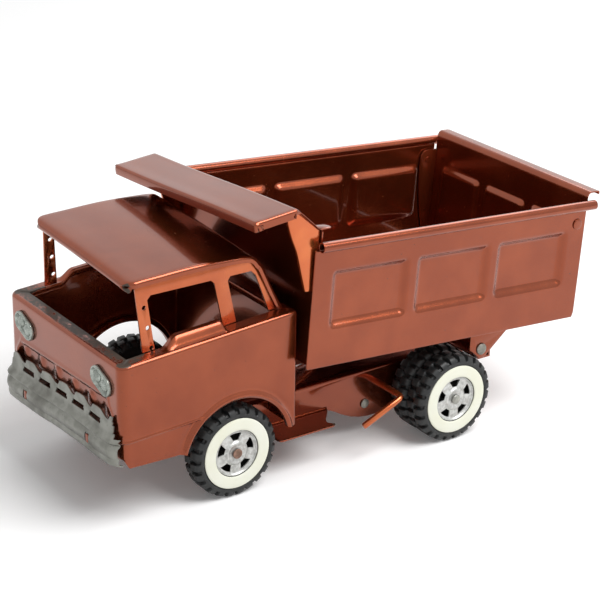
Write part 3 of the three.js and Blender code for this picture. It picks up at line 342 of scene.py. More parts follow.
def running_board(side):
    """Plan outline filled between an inner and an outer edge: the outer edge runs straight, dips to a notch at the
    rear, and the rear end is cut concave. The sheet turns up over a small radius into the flange."""
    share = np.linspace(0, 1, 34)[:, None]
    outer_x = np.interp(share, [0, 0.04, 0.93, 1.0], [60.5, 63.5, 63.5, 61.5])
    across = np.concatenate([np.linspace(0, 0.08, 4), np.linspace(0.12, 1, 16)])[None, :]
    x = 42.5 + (outer_x - 42.5) * across
    rear = 81.5 - 10.5 * np.sin(np.clip((x - 42.5) / 17, 0, 1) * math.pi / 2) ** 1.6 + 4.5 * soft_step(x, 57.5, 63)
    front = 32.0
    y = front + (rear - front) * share
    z = 26.5 + 1.6 * (1 - np.clip((x - 42.5) / 2.2, 0, 1)) ** 2 - 0.35 * np.clip((x - 50) / 13.5, 0, 1) ** 2
    wear = 0.3 * (share > 0.93) + 0.3 * (across > 0.93) + 0 * x
    return np.stack([x * side, y + 0 * x, z], -1), wear


points, faces, wear = chassis_channel()
settle(
    surface("chassis_channel", points, faces, outward=(0, 0, 1), wear=wear),
    "chassis", frame_enamel, ("chassis_frame",), thickness=1.0, ease=0.2, sharp=50,
)
for label, side in (("left", 1), ("right", -1)):
    board, wear = running_board(side)
    settle(
        surface("running_board_" + label, board, grid_quads(*board.shape[:2]), outward=(0, 0, 1), wear=wear),
        "chassis", frame_enamel, (), thickness=1.0, ease=0.2, sharp=50,
    )
eased_copy("tail_cross_channel", "rear_crossmember", "chassis", frame_enamel, 0.3)

# ---- rivets and axles ---------------------------------------------------------------------------------------
# Turned and headed steel: two frame rivets, the big bed pivots, the tailgate hinge rivets, and the two axle rods
# with upset heads, the front ones flat and coppery and the rear ones domed and grey.


def turned(profile, sides, centre_y, centre_z, flip=1):
    """Profile of (x, radius) carried round an axis along X: y = radius cos a, z = radius sin a. Poles close."""
    profile = np.asarray(profile, float)
    angle = np.arange(sides) * 2 * math.pi / sides
    x = np.repeat(profile[:, :1] * flip, sides, 1)
    y = profile[:, 1:] * np.cos(angle) + centre_y
    z = profile[:, 1:] * np.sin(angle) + centre_z
    return np.stack([x, y, z], -1), grid_quads(len(profile), sides, close_columns=True)


def domed_head(inner, outer, shank, head, lift, dome=0.6):
    """Profile of a rivet: a plain shank, a flat underside, and a head that rises as a quarter ellipse."""
    sweep = np.linspace(0, math.pi / 2, 9)
    crown = [(outer + lift * (1 - dome) + lift * dome * math.sin(a), head * math.cos(a)) for a in sweep]
    return [(inner, 0), (inner, shank), (outer, shank), (outer, head * 0.98), *crown[:-1], (crown[-1][0], 0)]


def raised(points):
    """Points of the level bed turned about its pivot by the angle at which it stands."""
    across = points[:, 1] - PIVOT_Y
    up = points[:, 2] - PIVOT_Z
    turn = math.radians(4)
    return np.stack(
        [
            points[:, 0],
            PIVOT_Y + across * math.cos(turn) + up * math.sin(turn),
            PIVOT_Z - across * math.sin(turn) + up * math.cos(turn),
        ],
        1,
    )


pivot_joint = next(joint for joint in frame["joints"] if joint["name"] == "bed_tilt")
PIVOT_Y = pivot_joint["pos_m"][1] / MM - AXLE_Y
PIVOT_Z = pivot_joint["pos_m"][2] / MM


def metal_group():
    """Bare or plated metal: a base tone mottled with a darker and a paler one, dull stains and fine scratches."""
    group, inside, outside = new_group(
        "aged_metal",
        [
            ("Vector", "NodeSocketVector", None),
            ("Tone", "NodeSocketColor", (0.4, 0.4, 0.38, 1)),
            ("Dark", "NodeSocketColor", (0.16, 0.16, 0.14, 1)),
            ("Pale", "NodeSocketColor", (0.6, 0.6, 0.57, 1)),
            ("Grain", "NodeSocketFloat", 300.0),
            ("Gloss", "NodeSocketFloat", 0.4),
            ("Stain", "NodeSocketFloat", 0.5),
        ],
        [("Color", "NodeSocketColor"), ("Roughness", "NodeSocketFloat"), ("Height", "NodeSocketFloat")],
    )
    where = inside.outputs["Vector"]

    def scaled_noise(detail, share):
        node = group.nodes.new("ShaderNodeTexNoise")
        node.inputs["Detail"].default_value = detail
        group.links.new(where, node.inputs["Vector"])
        group.links.new(maths(group, "MULTIPLY", inside.outputs["Grain"], share), node.inputs["Scale"])
        return node.outputs["Fac"]

    mottle = ramp(group, scaled_noise(5, 1.0), 0.34, 0.66)
    fine = scaled_noise(2, 6.0)
    blotch = maths(group, "MULTIPLY", ramp(group, scaled_noise(4, 0.3), 0.45, 0.7), inside.outputs["Stain"])
    colour = blend_colour(group, mottle, inside.outputs["Tone"], inside.outputs["Pale"])
    colour = blend_colour(group, blotch, colour, inside.outputs["Dark"])
    specks = ramp(group, fine, 0.66, 0.74, 0, 0.7)
    colour = blend_colour(group, specks, colour, inside.outputs["Dark"])
    rough = maths(group, "ADD", inside.outputs["Gloss"], maths(group, "MULTIPLY", blotch, 0.3))
    height = maths(group, "ADD", maths(group, "MULTIPLY", mottle, 0.5), maths(group, "MULTIPLY", fine, 0.3))
    for label, value in (("Color", colour), ("Roughness", rough), ("Height", height)):
        group.links.new(value, outside.inputs[label])
    return group


aged_metal = metal_group()
METAL_LINKS = (("Color", "Base Color"), ("Roughness", "Roughness"))


def old_metal(name, metallic, bump=0.0002, **values):
    """Aged plated or bare metal in the tones that the given group values set."""
    return finish_material(name, aged_metal, values, METAL_LINKS, {"Metallic": metallic}, bump)


grey_steel = old_metal("rivet_steel", 0.75, Tone=(0.2, 0.19, 0.165, 1), Pale=(0.3, 0.285, 0.25, 1), Grain=500.0)
coppery_steel = old_metal(
    "coppery_axle_steel", 0.7, Tone=(0.2, 0.12, 0.085, 1), Pale=(0.33, 0.2, 0.15, 1), Dark=(0.07, 0.04, 0.03, 1)
)
bright_steel = old_metal("domed_axle_steel", 0.85, Tone=(0.36, 0.36, 0.33, 1), Pale=(0.55, 0.55, 0.5, 1), Gloss=0.3)
painted_rivet = copper_enamel("painted_rivet_enamel", Gloss=0.34, Paint=(0.22, 0.05, 0.02, 1))


def rivet(name, node, body, finish, profile, y, z, side, tilted=False):
    """A headed rivet turned about X at one side of the truck."""
    points, faces = turned(profile, 40, y, z, side)
    piece = surface(name, points, faces, tilted=tilted)
    return settle(piece, body, finish, (node,), sharp=50)


for label, side in (("left", 1), ("right", -1)):
    rivet(
        "frame_rivet_" + label, "chassis_rivet_" + label, "chassis", grey_steel,
        domed_head(40.5, 42.8, 1.8, 3.0, 1.1, 0.5), 111, 22.5, side,
    )
    rivet(
        "bed_pivot_rivet_" + label, "pivot_rivet_" + label, "bed", grey_steel,
        domed_head(66.6, 70.5, 2.2, 3.8, 1.3, 0.55), PIVOT_Y, PIVOT_Z, side, True,
    )
    rivet(
        "gate_hinge_rivet_" + label, "tailgate_rivet_" + label, "bed", painted_rivet,
        domed_head(73.8, 77.65, 2.0, 3.5, 1.0, 0.5), 244.1, 130.7, side, True,
    )


def axle_profile(face, dome):
    """Axle rod with a head at each end, mirrored about the middle of the truck."""
    base = face - 0.4
    sweep = np.linspace(0, math.pi / 2, 8)
    lift, spread = (0.9, 1.0) if dome else (0.55, 0.12)
    head = [(base + 0.5 + lift * math.sin(a), 3.1 * (1 - spread * (1 - math.cos(a)))) for a in sweep]
    half = [(0, 1.6), (base, 1.6), (base, 3.1), *head, (head[-1][0], 0)]
    return [(-x, r) for x, r in half[:0:-1]] + half


for name, node, face, y, dome, finish, slot in (
    ("front_axle_rod", "front_axle", 66.5, 0.0, False, coppery_steel, "axle_steel"),
    ("rear_axle_rod", "rear_axle", 79.5, 155.0, True, bright_steel, "dull_zinc"),
):
    points, faces = turned(axle_profile(face, dome), 36, y, 28.5)
    settle(surface(name, points, faces), "chassis", finish, (node,), sharp=50)

# ---- wheels -------------------------------------------------------------------------------------------------
# Moulded black tyres with two staggered rows of blocks, each pushed over a pressed, plated hub with five windows
# and a centre boss. The outer wheels carry a ring of cream-white vinyl let into the sidewall; the inner rears don't.
TYRE_RADIUS, LUGS = 28.5, 24


def tyre(face, side, axle_y):
    """The tyre's closed section carried round the axle. Radius is the section's, less a groove depth where the angle
    falls between blocks; the blocks of the two halves are half a pitch apart, and fade out down the shoulders."""
    section = np.array(
        [
            (-0.95, 14.9), (-0.95, 18), (-0.95, 22.2), (-0.9, 22.7), (-0.35, 23.1), (-0.15, 23.8), (-0.15, 24.8),
            (-0.35, 25.6), (-0.7, 26.4), (-1.15, 27.2), (-1.8, 27.9), (-2.7, 28.35), (-3.8, 28.5), (-5.4, 28.5),
            (-6.9, 28.5), (-7.5, 28.5), (-8.0, 28.5), (-8.5, 28.5), (-9.1, 28.5), (-10.6, 28.5), (-12.2, 28.5),
            (-13.3, 28.35), (-14.2, 27.9), (-14.85, 27.2), (-15.3, 26.4), (-15.65, 25.6), (-15.85, 24.8),
            (-15.85, 23.8), (-15.65, 22.7), (-15.65, 18), (-15.65, 14.9),
        ]
    )
    steps = LUGS * 14
    angle = np.arange(steps) * 2 * math.pi / steps
    x, radius = section[:, 0][:, None], section[:, 1][:, None]
    inner_half = soft_step(-x, 7.6, 8.4)
    phase = (angle[None, :] + math.pi / 2) * LUGS / (2 * math.pi)
    swing = np.abs(((phase + 0.5 * inner_half + 0.10 * (x + 8) / 8) % 1.0) - 0.5) * 2
    groove = soft_step(swing, 0.6, 0.72)
    depth = 2.2 * soft_step(radius, 24.8, 27.4)
    middle = 0.45 * np.exp(-(((x + 8) / 0.5) ** 2))
    made = radius - depth * groove * (1 - 0.25 * np.exp(-(((x + 8) / 1.0) ** 2))) - middle * soft_step(radius, 27, 28)
    widen = np.sign(x + 8) * -0.55 * groove * soft_step(radius, 24.6, 26.4) * (np.abs(x + 8) > 6)
    points = np.stack(
        [(x + widen + face) * side + 0 * angle, made * np.cos(angle) + axle_y, made * np.sin(angle) + TYRE_RADIUS], -1
    )
    return points, grid_quads(len(section), steps, True, True)


def hub(face, side, axle_y):
    """The pressed disc and rim as a profile of (x, radius) carried round the axle. Angles are drawn towards the edges
    of five windows, whose half width grows from 12 to 19 degrees with the radius, and the cells inside are left out."""
    profile = np.array(
        [
            (-2.6, 14.6), (-1.5, 14.75), (-1.0, 14.7), (-0.85, 14.45), (-1.0, 14.15),
            (-1.5, 13.9), (-2.0, 13.5), (-2.15, 13.0), (-2.15, 12.6), (-2.1, 11.5), (-2.05, 10.3), (-1.95, 9.2),
            (-1.85, 8.2), (-1.6, 7.6), (-1.1, 7.15), (-0.75, 6.8), (-0.65, 6.2), (-0.75, 5.6), (-1.05, 5.1),
            (-1.15, 4.4), (-1.1, 3.4), (-1.1, 1.75),
        ]
    )
    x, radius = profile[:, 0], profile[:, 1]
    half = np.radians(np.interp(radius, [8.2, 12.6], [12.5, 19.5]))[:, None]
    inner = np.linspace(-1, 1, 9)
    outer = np.linspace(0, 1, 8)[1:-1]
    sector = np.concatenate([inner * 0.5, 0.5 + outer * 0.5])
    width = math.radians(72)
    angles = []
    for window in range(5):
        near = half * (sector[None, :9] * 2)
        far = half + (width - 2 * half) * outer[None, :]
        angles.append(np.concatenate([near, far], 1) + window * width + math.pi / 2)
    angle = np.concatenate(angles, 1)
    per = len(sector)
    column = np.arange(per * 5)
    in_window = (column % per) < 8
    in_band = (radius[:-1] <= 12.6) & (radius[1:] >= 8.2)
    kept = ~(in_band[:, None] & in_window[None, :])
    points = np.stack(
        [
            np.repeat((x + face)[:, None] * side, per * 5, 1),
            radius[:, None] * np.cos(angle) + axle_y,
            radius[:, None] * np.sin(angle) + TYRE_RADIUS,
        ],
        -1,
    )
    return points, grid_quads(len(profile), per * 5, close_columns=True, kept=kept)


def whitewall(face, side, axle_y):
    """A low ring with rounded edges, turned about the axle as a closed section."""
    section = [
        (-0.75, 15.0), (-0.2, 15.05), (-0.04, 15.4), (0, 16.2), (0, 21.4), (-0.05, 22.0), (-0.25, 22.35), (-0.75, 22.4),
    ]
    points, _ = turned(section, 96, axle_y, TYRE_RADIUS)
    points[..., 0] = (points[..., 0] + face) * side
    return points, grid_quads(len(section), 96, True, True)


def rubber_group():
    """Old black rubber: nearly black, greyer where dusty, with a dull grain."""
    group, inside, outside = new_group(
        "dusty_rubber",
        [("Vector", "NodeSocketVector", None), ("Black", "NodeSocketColor", (0.011, 0.012, 0.0125, 1))],
        [("Color", "NodeSocketColor"), ("Roughness", "NodeSocketFloat"), ("Height", "NodeSocketFloat")],
    )
    where = inside.outputs["Vector"]
    dust = ramp(group, noise(group, where, 160, 5, 0.65), 0.42, 0.8, 0.0, 0.55)
    colour = blend_colour(group, dust, inside.outputs["Black"], (0.05, 0.05, 0.047, 1))
    rough = ramp(group, noise(group, where, 60, 3), 0.3, 0.7, 0.38, 0.58)
    grain = maths(group, "MULTIPLY", noise(group, where, 1400, 3), 0.7)
    for label, value in (("Color", colour), ("Roughness", rough), ("Height", grain)):
        group.links.new(value, outside.inputs[label])
    return group


def vinyl_group():
    """Cream-white vinyl, a little yellower in places, with sparse grey scuffs."""
    group, inside, outside = new_group(
        "cream_vinyl",
        [("Vector", "NodeSocketVector", None), ("Cream", "NodeSocketColor", (0.86, 0.87, 0.76, 1))],
        [("Color", "NodeSocketColor"), ("Roughness", "NodeSocketFloat"), ("Height", "NodeSocketFloat")],
    )
    where = inside.outputs["Vector"]
    yellowed = ramp(group, noise(group, where, 45, 3), 0.3, 0.75, 0.0, 0.6)
    scuffs = ramp(group, noise(group, where, 330, 3), 0.7, 0.78, 0, 0.5)
    colour = blend_colour(group, yellowed, inside.outputs["Cream"], (0.8, 0.8, 0.62, 1))
    colour = blend_colour(group, scuffs, colour, (0.42, 0.41, 0.3, 1))
    rough = ramp(group, noise(group, where, 200, 2), 0.3, 0.7, 0.42, 0.55)
    for label, value in (("Color", colour), ("Roughness", rough), ("Height", noise(group, where, 500, 2))):
        group.links.new(value, outside.inputs[label])
    return group


tyre_rubber = finish_material("tyre_rubber", rubber_group(), {}, METAL_LINKS, {"Specular IOR Level": 0.42}, 0.0002)
wall_vinyl = finish_material("whitewall_vinyl", vinyl_group(), {}, METAL_LINKS, {"Specular IOR Level": 0.4}, 0.00005)
hub_silver = old_metal(
    "hub_plating", 0.6, 0.00015,
    Tone=(0.44, 0.44, 0.42, 1), Pale=(0.62, 0.63, 0.61, 1), Dark=(0.2, 0.2, 0.19, 1),
    Grain=520.0, Gloss=0.34, Stain=0.3,
)
# Painted shade: the hub's inner drum is coloured near-black to stand in for the shade seen through the hub's five
# windows; its own colour is not known.
barrel_shade_black = old_metal(
    "hub_barrel_painted_shade", 0.4, 0.0002,
    Tone=(0.02, 0.02, 0.019, 1), Pale=(0.035, 0.034, 0.03, 1), Dark=(0.01, 0.01, 0.01, 1), Grain=300.0, Gloss=0.6,
)


def barrel(face, side, axle_y):
    """The hub's inner drum as a closed turned section: the wall under the tyre, a back web, and the axle sleeve. Its
    near-black finish is painted shade, standing in for the darkness seen through the hub's windows.
    """
    section = [
        (-2.9, 14.5), (-15.0, 14.5), (-15.0, 3.4), (-3.2, 3.4), (-3.2, 1.8), (-15.6, 1.8), (-15.6, 14.7), (-2.9, 14.7),
    ]
    points, _ = turned(section, 64, axle_y, TYRE_RADIUS)
    points[..., 0] = (points[..., 0] + face) * side
    return points, grid_quads(len(section), 64, True, True)


for prefix, face, axle_y, outer_wheel in (
    ("front", 66.5, 0.0, True),
    ("rear_outer", 79.5, 155.0, True),
    ("rear_inner", 62.9, 155.0, False),
):
    for label, side in (("left", 1), ("right", -1)):
        body = f"{prefix}_wheel_{label}"
        points, faces = tyre(face, side, axle_y)
        settle(
            surface(f"{prefix}_rubber_{label}", points, faces),
            body, tyre_rubber, (f"{prefix}_tyre_{label}",), sharp=32,
        )
        points, faces = hub(face, side, axle_y)
        settle(
            surface(f"{prefix}_disc_{label}", points, faces, outward=(side, 0, 0)),
            body, hub_silver, (f"{prefix}_hub_{label}",), thickness=0.9, ease=0.12,
        )
        points, faces = barrel(face, side, axle_y)
        settle(
            surface(f"{prefix}_barrel_{label}", points, faces), body, barrel_shade_black, (), sharp=40,
        )
        if outer_wheel:
            points, faces = whitewall(face, side, axle_y)
            settle(
                surface(f"{prefix}_white_ring_{label}", points, faces),
                body, wall_vinyl, (f"{prefix}_whitewall_{label}",),
            )

# ---- lever and lifting crank --------------------------------------------------------------------------------
# One steel rod bent cold and enamelled: a handle outside the left flange, a shaft through both flanges, and a
# crank between them that lifts the bed floor. A pressed-on ring keeps it in place at the right.


def lever_path():
    """Corner points of the rod's centre line, with each corner replaced by a smooth curve that starts a bend
    radius before it and ends a bend radius after it."""
    turn = math.radians(4)
    rise = 66.6 - 0.3 - 2 - PIVOT_Z
    climb = (rise + (PIVOT_Y - 118.5) * math.sin(turn) + (PIVOT_Z - 36.5) * math.cos(turn)) / 66
    lift = math.asin(climb) + turn
    tip = (118.5 - 66 * math.cos(lift), 36.5 + 66 * math.sin(lift))
    drop = math.radians(23)
    grip = (118.5 - 32 * math.cos(drop), 36.5 - 32 * math.sin(drop))
    corners = np.array(
        [(71, *grip), (71, 118.5, 36.5), (9, 118.5, 36.5), (9, *tip), (-9, *tip), (-9, 118.5, 36.5), (-48.5, 118.5, 36.5)]
    )
    reach, line = 4.0, [corners[0]]
    for before, corner, after in zip(corners[:-2], corners[1:-1], corners[2:]):
        start = corner + reach * (before - corner) / np.linalg.norm(before - corner)
        end = corner + reach * (after - corner) / np.linalg.norm(after - corner)
        share = np.linspace(0, 1, 9)[:, None]
        line += list((1 - share) ** 2 * start + 2 * share * (1 - share) * corner + share**2 * end)
    line.append(corners[-1])
    return np.array(line)


def rod(line, radius, sides, end_round=0.5):
    """A round section carried along a line of points, turned with it so that it never twists, with eased ends."""
    ahead = np.gradient(line, axis=0)
    ahead /= np.linalg.norm(ahead, axis=1)[:, None]
    reference = np.cross(ahead[0], [0.0, 0.0, 1.0])
    frames = []
    for direction in ahead:
        reference = reference - direction * (reference @ direction)
        reference /= np.linalg.norm(reference)
        frames.append(reference)
    first = np.array(frames)
    second = np.cross(ahead, first)
    angle = np.arange(sides) * 2 * math.pi / sides
    ring = np.cos(angle)[None, :, None] * first[:, None, :] + np.sin(angle)[None, :, None] * second[:, None, :]
    sizes = np.full(len(line), radius)
    rows = [line[0] + 0 * ring[0], line[0] + ring[0] * (radius - end_round)]
    shifted = line.copy()
    shifted[0] = shifted[0] + ahead[0] * end_round
    shifted[-1] = shifted[-1] - ahead[-1] * end_round
    body = shifted[:, None, :] + ring * sizes[:, None, None]
    tail = [line[-1] + ring[-1] * (radius - end_round), line[-1] + 0 * ring[-1]]
    points = np.concatenate([np.array(rows), body, np.array(tail)])
    return points, grid_quads(len(points), sides, close_columns=True)


rod_enamel = copper_enamel("lever_enamel", Gloss=0.22, Paint=(0.42, 0.085, 0.022, 1), Bright=(0.52, 0.13, 0.035, 1))
points, faces = rod(lever_path(), 2.0, 24)
settle(surface("lever_bent_rod", points, faces), "lever", rod_enamel, ("lever_rod",), sharp=50)
ring_section = [(-44.4, 2.1), (-42.85, 2.1), (-42.8, 4.3), (-43.0, 4.6), (-44.1, 4.6), (-44.4, 4.3)]
points, _ = turned(ring_section, 32, 118.5, 36.5)
settle(
    surface("lever_ring", points, grid_quads(len(ring_section), 32, True, True)),
    "lever", grey_steel, ("lever_retainer",),
)

# ---- cab body -----------------------------------------------------------------------------------------------
# A deep-drawn steel shell: front, sides and back in one, with its top edge rolled in to a ledge, a raised boss along
# the ledge below each front side window, a skirt step, flared wheel arches, and a recess in front for the grille.
CAB_HALF, CAB_FRONT, CAB_REAR, CAB_CORNER = 67.5, -78.0, 41.0, 6.0


def blend_along(y, front_value, rear_value):
    """A height that changes evenly from the cab's front to its rear."""
    return front_value + (rear_value - front_value) * (y - CAB_FRONT) / (CAB_REAR - CAB_FRONT)


def cab_plan(inset):
    """Plan outline at an inset, as (x, y) points in the same order for each inset: down the left side from the rear,
    round the front corner, across the front, back along the right side, and across the rear."""
    half, front, rear = CAB_HALF - inset, CAB_FRONT + inset, CAB_REAR - inset
    radius, back = max(CAB_CORNER - inset, 0.9), max(2.0 - inset, 0.5)
    side = np.concatenate(
        [
            np.linspace(rear - back, 36.6, 5, endpoint=False), np.linspace(36.6, 34.2, 9, endpoint=False),
            np.linspace(34.2, 24, 16, endpoint=False), np.linspace(24, -24, 44, endpoint=False),
            np.linspace(-24, -34.2, 16, endpoint=False), np.linspace(-34.2, -36.6, 9, endpoint=False),
            np.linspace(-36.6, front + radius, 34, endpoint=False),
        ]
    )
    bend = np.linspace(0, math.pi / 2, 10, endpoint=False)
    across = np.linspace(half - radius, -half + radius, 150, endpoint=False)
    left = np.stack([np.full(len(side), half), side], 1)
    corner = np.stack([half - radius + radius * np.cos(bend), front + radius - radius * np.sin(bend)], 1)
    face = np.stack([across, np.full(len(across), front)], 1)
    other = np.stack([-half + radius - radius * np.sin(bend), front + radius - radius * np.cos(bend)], 1)
    right = np.stack([np.full(len(side), -half), np.concatenate([[front + radius], side[:0:-1]])], 1)
    turn = np.linspace(0, math.pi / 2, 4, endpoint=False)
    right_back = np.stack([-half + back - back * np.cos(turn), rear - back + back * np.sin(turn)], 1)
    door = np.concatenate(
        [
            np.linspace(-half + back, -43.4, 8, endpoint=False), np.linspace(-43.4, -42.8, 3, endpoint=False),
            np.linspace(-42.8, 42.8, 30, endpoint=False), np.linspace(42.8, 43.4, 3, endpoint=False),
            np.linspace(43.4, half - back, 8, endpoint=False),
        ]
    )
    wall = np.stack([door, np.full(len(door), rear)], 1)
    left_back = np.stack([half - back + back * np.sin(turn), rear - back + back * np.cos(turn)], 1)
    return np.concatenate([left, corner, face, other, right, right_back, wall, left_back])


def pressed_rise(value, low, high):
    """A straight rise from 0 to 1 with small rounded ends."""
    share = np.clip((value - low) / (high - low), 0, 1)
    return share - 0.07 * np.sin(2 * math.pi * share)


def cab_shell():
    """Plan outline times height. Each column rises from the sill, or from the wheel arch where that is higher, to the
    belt, rolls over a quarter circle and runs in along the ledge. The skin is pushed in or out along the plan's own
    inset by: the skirt step below the crease, the rounded arch lip, and the grille recess with its row of ribs."""
    plan = cab_plan(0.0)
    y, x = plan[:, 1], plan[:, 0]
    on_side = np.abs(x) > CAB_HALF - 0.5
    on_rear = y > CAB_REAR - 0.5
    on_front = y < CAB_FRONT + 0.5
    belt = blend_along(y, 103.0, 111.3)
    sill = blend_along(y, 39.6, 37.0)
    arch = np.where((np.abs(y) < 36) & on_side, 28.5 + np.sqrt(np.maximum(36.0**2 - y**2, 0)), 0)
    foot = np.maximum(sill, arch)
    foot = np.where(on_rear & (np.abs(x) < 43.1), 46.2, foot)
    foot = foot + 5.5 * soft_step(-y, 72.5, 77.5)
    crease = blend_along(y, 56, 62)
    roll = 2.3
    step_low = np.maximum(crease - 2.2, foot + 0.6)
    step_high = np.maximum(crease + 1.4, step_low + 0.6)
    levels = [foot + (step_low - foot) * share for share in np.linspace(0, 1, 12)[:-1]]
    levels += [step_low + (step_high - step_low) * share for share in np.linspace(0, 1, 10)[:-1]]
    levels += [step_high + (belt - roll - step_high) * share for share in np.linspace(0, 1, 36)]
    rows, insets = [], []
    for z in levels:
        inset = np.zeros_like(z)
        before_arch = soft_step(-y, 18, 24)
        skirt = 1.25 * soft_step(crease - z, 0.1, 1.5)
        groove = 0.55 * np.exp(-(((crease - z) + 0.1) / 0.8) ** 2)
        inset += np.where(on_side | ~on_rear, (skirt - groove) * np.where(on_front, 1.0, before_arch) * (y < 0), 0)
        reach = np.hypot(y, z - 28.5) - 36
        lip = np.where(on_side, np.exp(-(((reach - 1.7) / 1.5) ** 2)), 0)
        well = np.where(on_side, np.exp(-(((reach - 5.2) / 1.3) ** 2)), 0)
        inset = inset * (1 - np.clip(lip * 1.3, 0, 1)) - 1.35 * lip + 0.3 * well
        edge_x = 57 - np.clip((z - 68.5) / 8, 0, 1) * 6
        inside = np.minimum(edge_x - np.abs(x), 76.5 + 0.04 * x - z)
        hollow = np.where(on_front, soft_step(inside, -0.6, 1.6), 0)
        border = np.where(on_front, 0.5 * np.exp(-(((inside + 1.4) / 1.1) ** 2)), 0)
        ribs = np.cos((x - 10.1) * 2 * math.pi / 20.17) * 0.5 + 0.5
        rib = 1.1 * ribs**3 * soft_step(z, 64.5, 66.5) * soft_step(-z, -75.5, -73.0)
        inset = np.where(on_front, inset * (1 - hollow) + 2.0 * hollow - rib * hollow - border, inset)
        rows.append(z)
        insets.append(inset)
    for bend in np.linspace(0, math.pi / 2, 7)[1:]:
        rows.append(belt - roll + roll * math.sin(bend))
        insets.append(np.full(len(y), roll * (1 - math.cos(bend))))
    for inset in (2.6, 3.0, 3.5, 4.1, 4.8, 5.4, 5.9, 6.4, 7.0, 7.8, 8.6, 9.2):
        boss = 6.2 * soft_step(y, -48.5, -38) * soft_step(-y, 4.6, 9.0) * pressed_rise(inset, 1.6, 6.2)
        rows.append(belt + np.where(np.abs(x) > CAB_HALF - 0.5, boss, 0))
        insets.append(np.full(len(y), inset))
    rows.append(rows[-1] - 1.2)
    insets.append(np.full(len(y), 9.7))
    rows.append(rows[-1] - 2.2)
    insets.append(np.full(len(y), 9.8))
    hem = [(3.2, 0.35), (1.6, 0.1), (0.5, 0.0)]
    first_rows, first_insets = [], []
    for inward, up in hem:
        first_rows.append(rows[0] + up)
        first_insets.append(insets[0] + inward)
    rows, insets = first_rows + rows, first_insets + insets
    grid = np.zeros((len(rows), len(y), 3))
    levels = np.linspace(0, 10, 101)
    plans = np.array([cab_plan(level) for level in levels])
    outward = cab_plan(0.0) - cab_plan(0.05)
    outward /= np.maximum(np.linalg.norm(outward, axis=1), 1e-9)[:, None]
    column = np.arange(len(y))
    for number, (z, inset) in enumerate(zip(rows, insets)):
        inward = np.clip(inset, 0, 9.99)
        lower = np.floor(inward * 10).astype(int)
        share = (inward * 10 - lower)[:, None]
        place = plans[lower, column] * (1 - share) + plans[lower + 1, column] * share
        place = place + outward * np.maximum(-inset, 0)[:, None]
        grid[number, :, :2] = place
        grid[number, :, 2] = z
    height = grid[:, :, 2]
    rim = np.exp(-(((height - belt[None, :]) / 1.6) ** 2)) * (np.arange(len(rows)) > 45)[:, None]
    ledge_wear = np.where(np.arange(len(rows))[:, None] >= len(rows) - 14, 0.1, 0)
    front_ledge = np.where(y[None, :] < -60, 1.0, 0.55)
    low_edge = 0.36 * np.exp(-((height - foot[None, :]) / 1.2) ** 2)
    corner_wear = 0.2 * ((np.abs(x) > 60) & (y < -70))[None, :] * rim
    boss_edge = 0.12 * np.where(np.arange(len(rows))[:, None] >= len(rows) - 5, 1, 0)
    wear = (0.36 * rim + ledge_wear) * front_ledge * 1.25 + low_edge + corner_wear + boss_edge
    return grid, wear, len(rows), len(y)


cab_enamel = copper_enamel("cab_enamel", Gloss=0.2)
grid, wear, rows, columns = cab_shell()
settle(
    surface("cab_pressing", grid, grid_quads(rows, columns, close_columns=True), wear=wear),
    "chassis", cab_enamel, ("cab_body",), thickness=0.9, ease=0.0, sharp=50,
)

# ---- cab side frames ----------------------------------------------------------------------------------------
# Flat stampings that stand on the ledge and carry the roof: three pillars round two unglazed windows, with three
# small holes down the slim front pillar. They lean in towards the roof.
pillar_enamel = copper_enamel(
    "side_frame_enamel", Gloss=0.24, Paint=(0.4, 0.085, 0.024, 1), Bright=(0.5, 0.12, 0.035, 1)
)
for label in ("left", "right"):
    eased_copy(
        "window_frame_" + label, "cab_side_frame_" + label, "chassis", pillar_enamel, 0.3
    )

# ---- cab roof -----------------------------------------------------------------------------------------------
# A shallow pressing with a rolled visor edge in front, a crowned top, short flanges turned down at the sides, and a
# back that runs down to the ledge. It sits on the side frames, a little skewed, and is worn bare along its front.
ROOF_HALF = 55.5


def smooth_line(corners, per_piece):
    """Corner points as one smooth line: each piece is a Catmull-Rom cubic through its two ends."""
    corners = np.asarray(corners, float)
    padded = np.concatenate([[2 * corners[0] - corners[1]], corners, [2 * corners[-1] - corners[-2]]])
    share = np.linspace(0, 1, per_piece, endpoint=False)[:, None]
    line = []
    for a, b, c, d in zip(padded[:-3], padded[1:-2], padded[2:-1], padded[3:]):
        line.append(
            0.5 * (2 * b + (c - a) * share + (2 * a - 5 * b + 4 * c - d) * share**2 + (3 * b - a - 3 * c + d) * share**3)
        )
    return np.concatenate([*line, corners[-1:]])


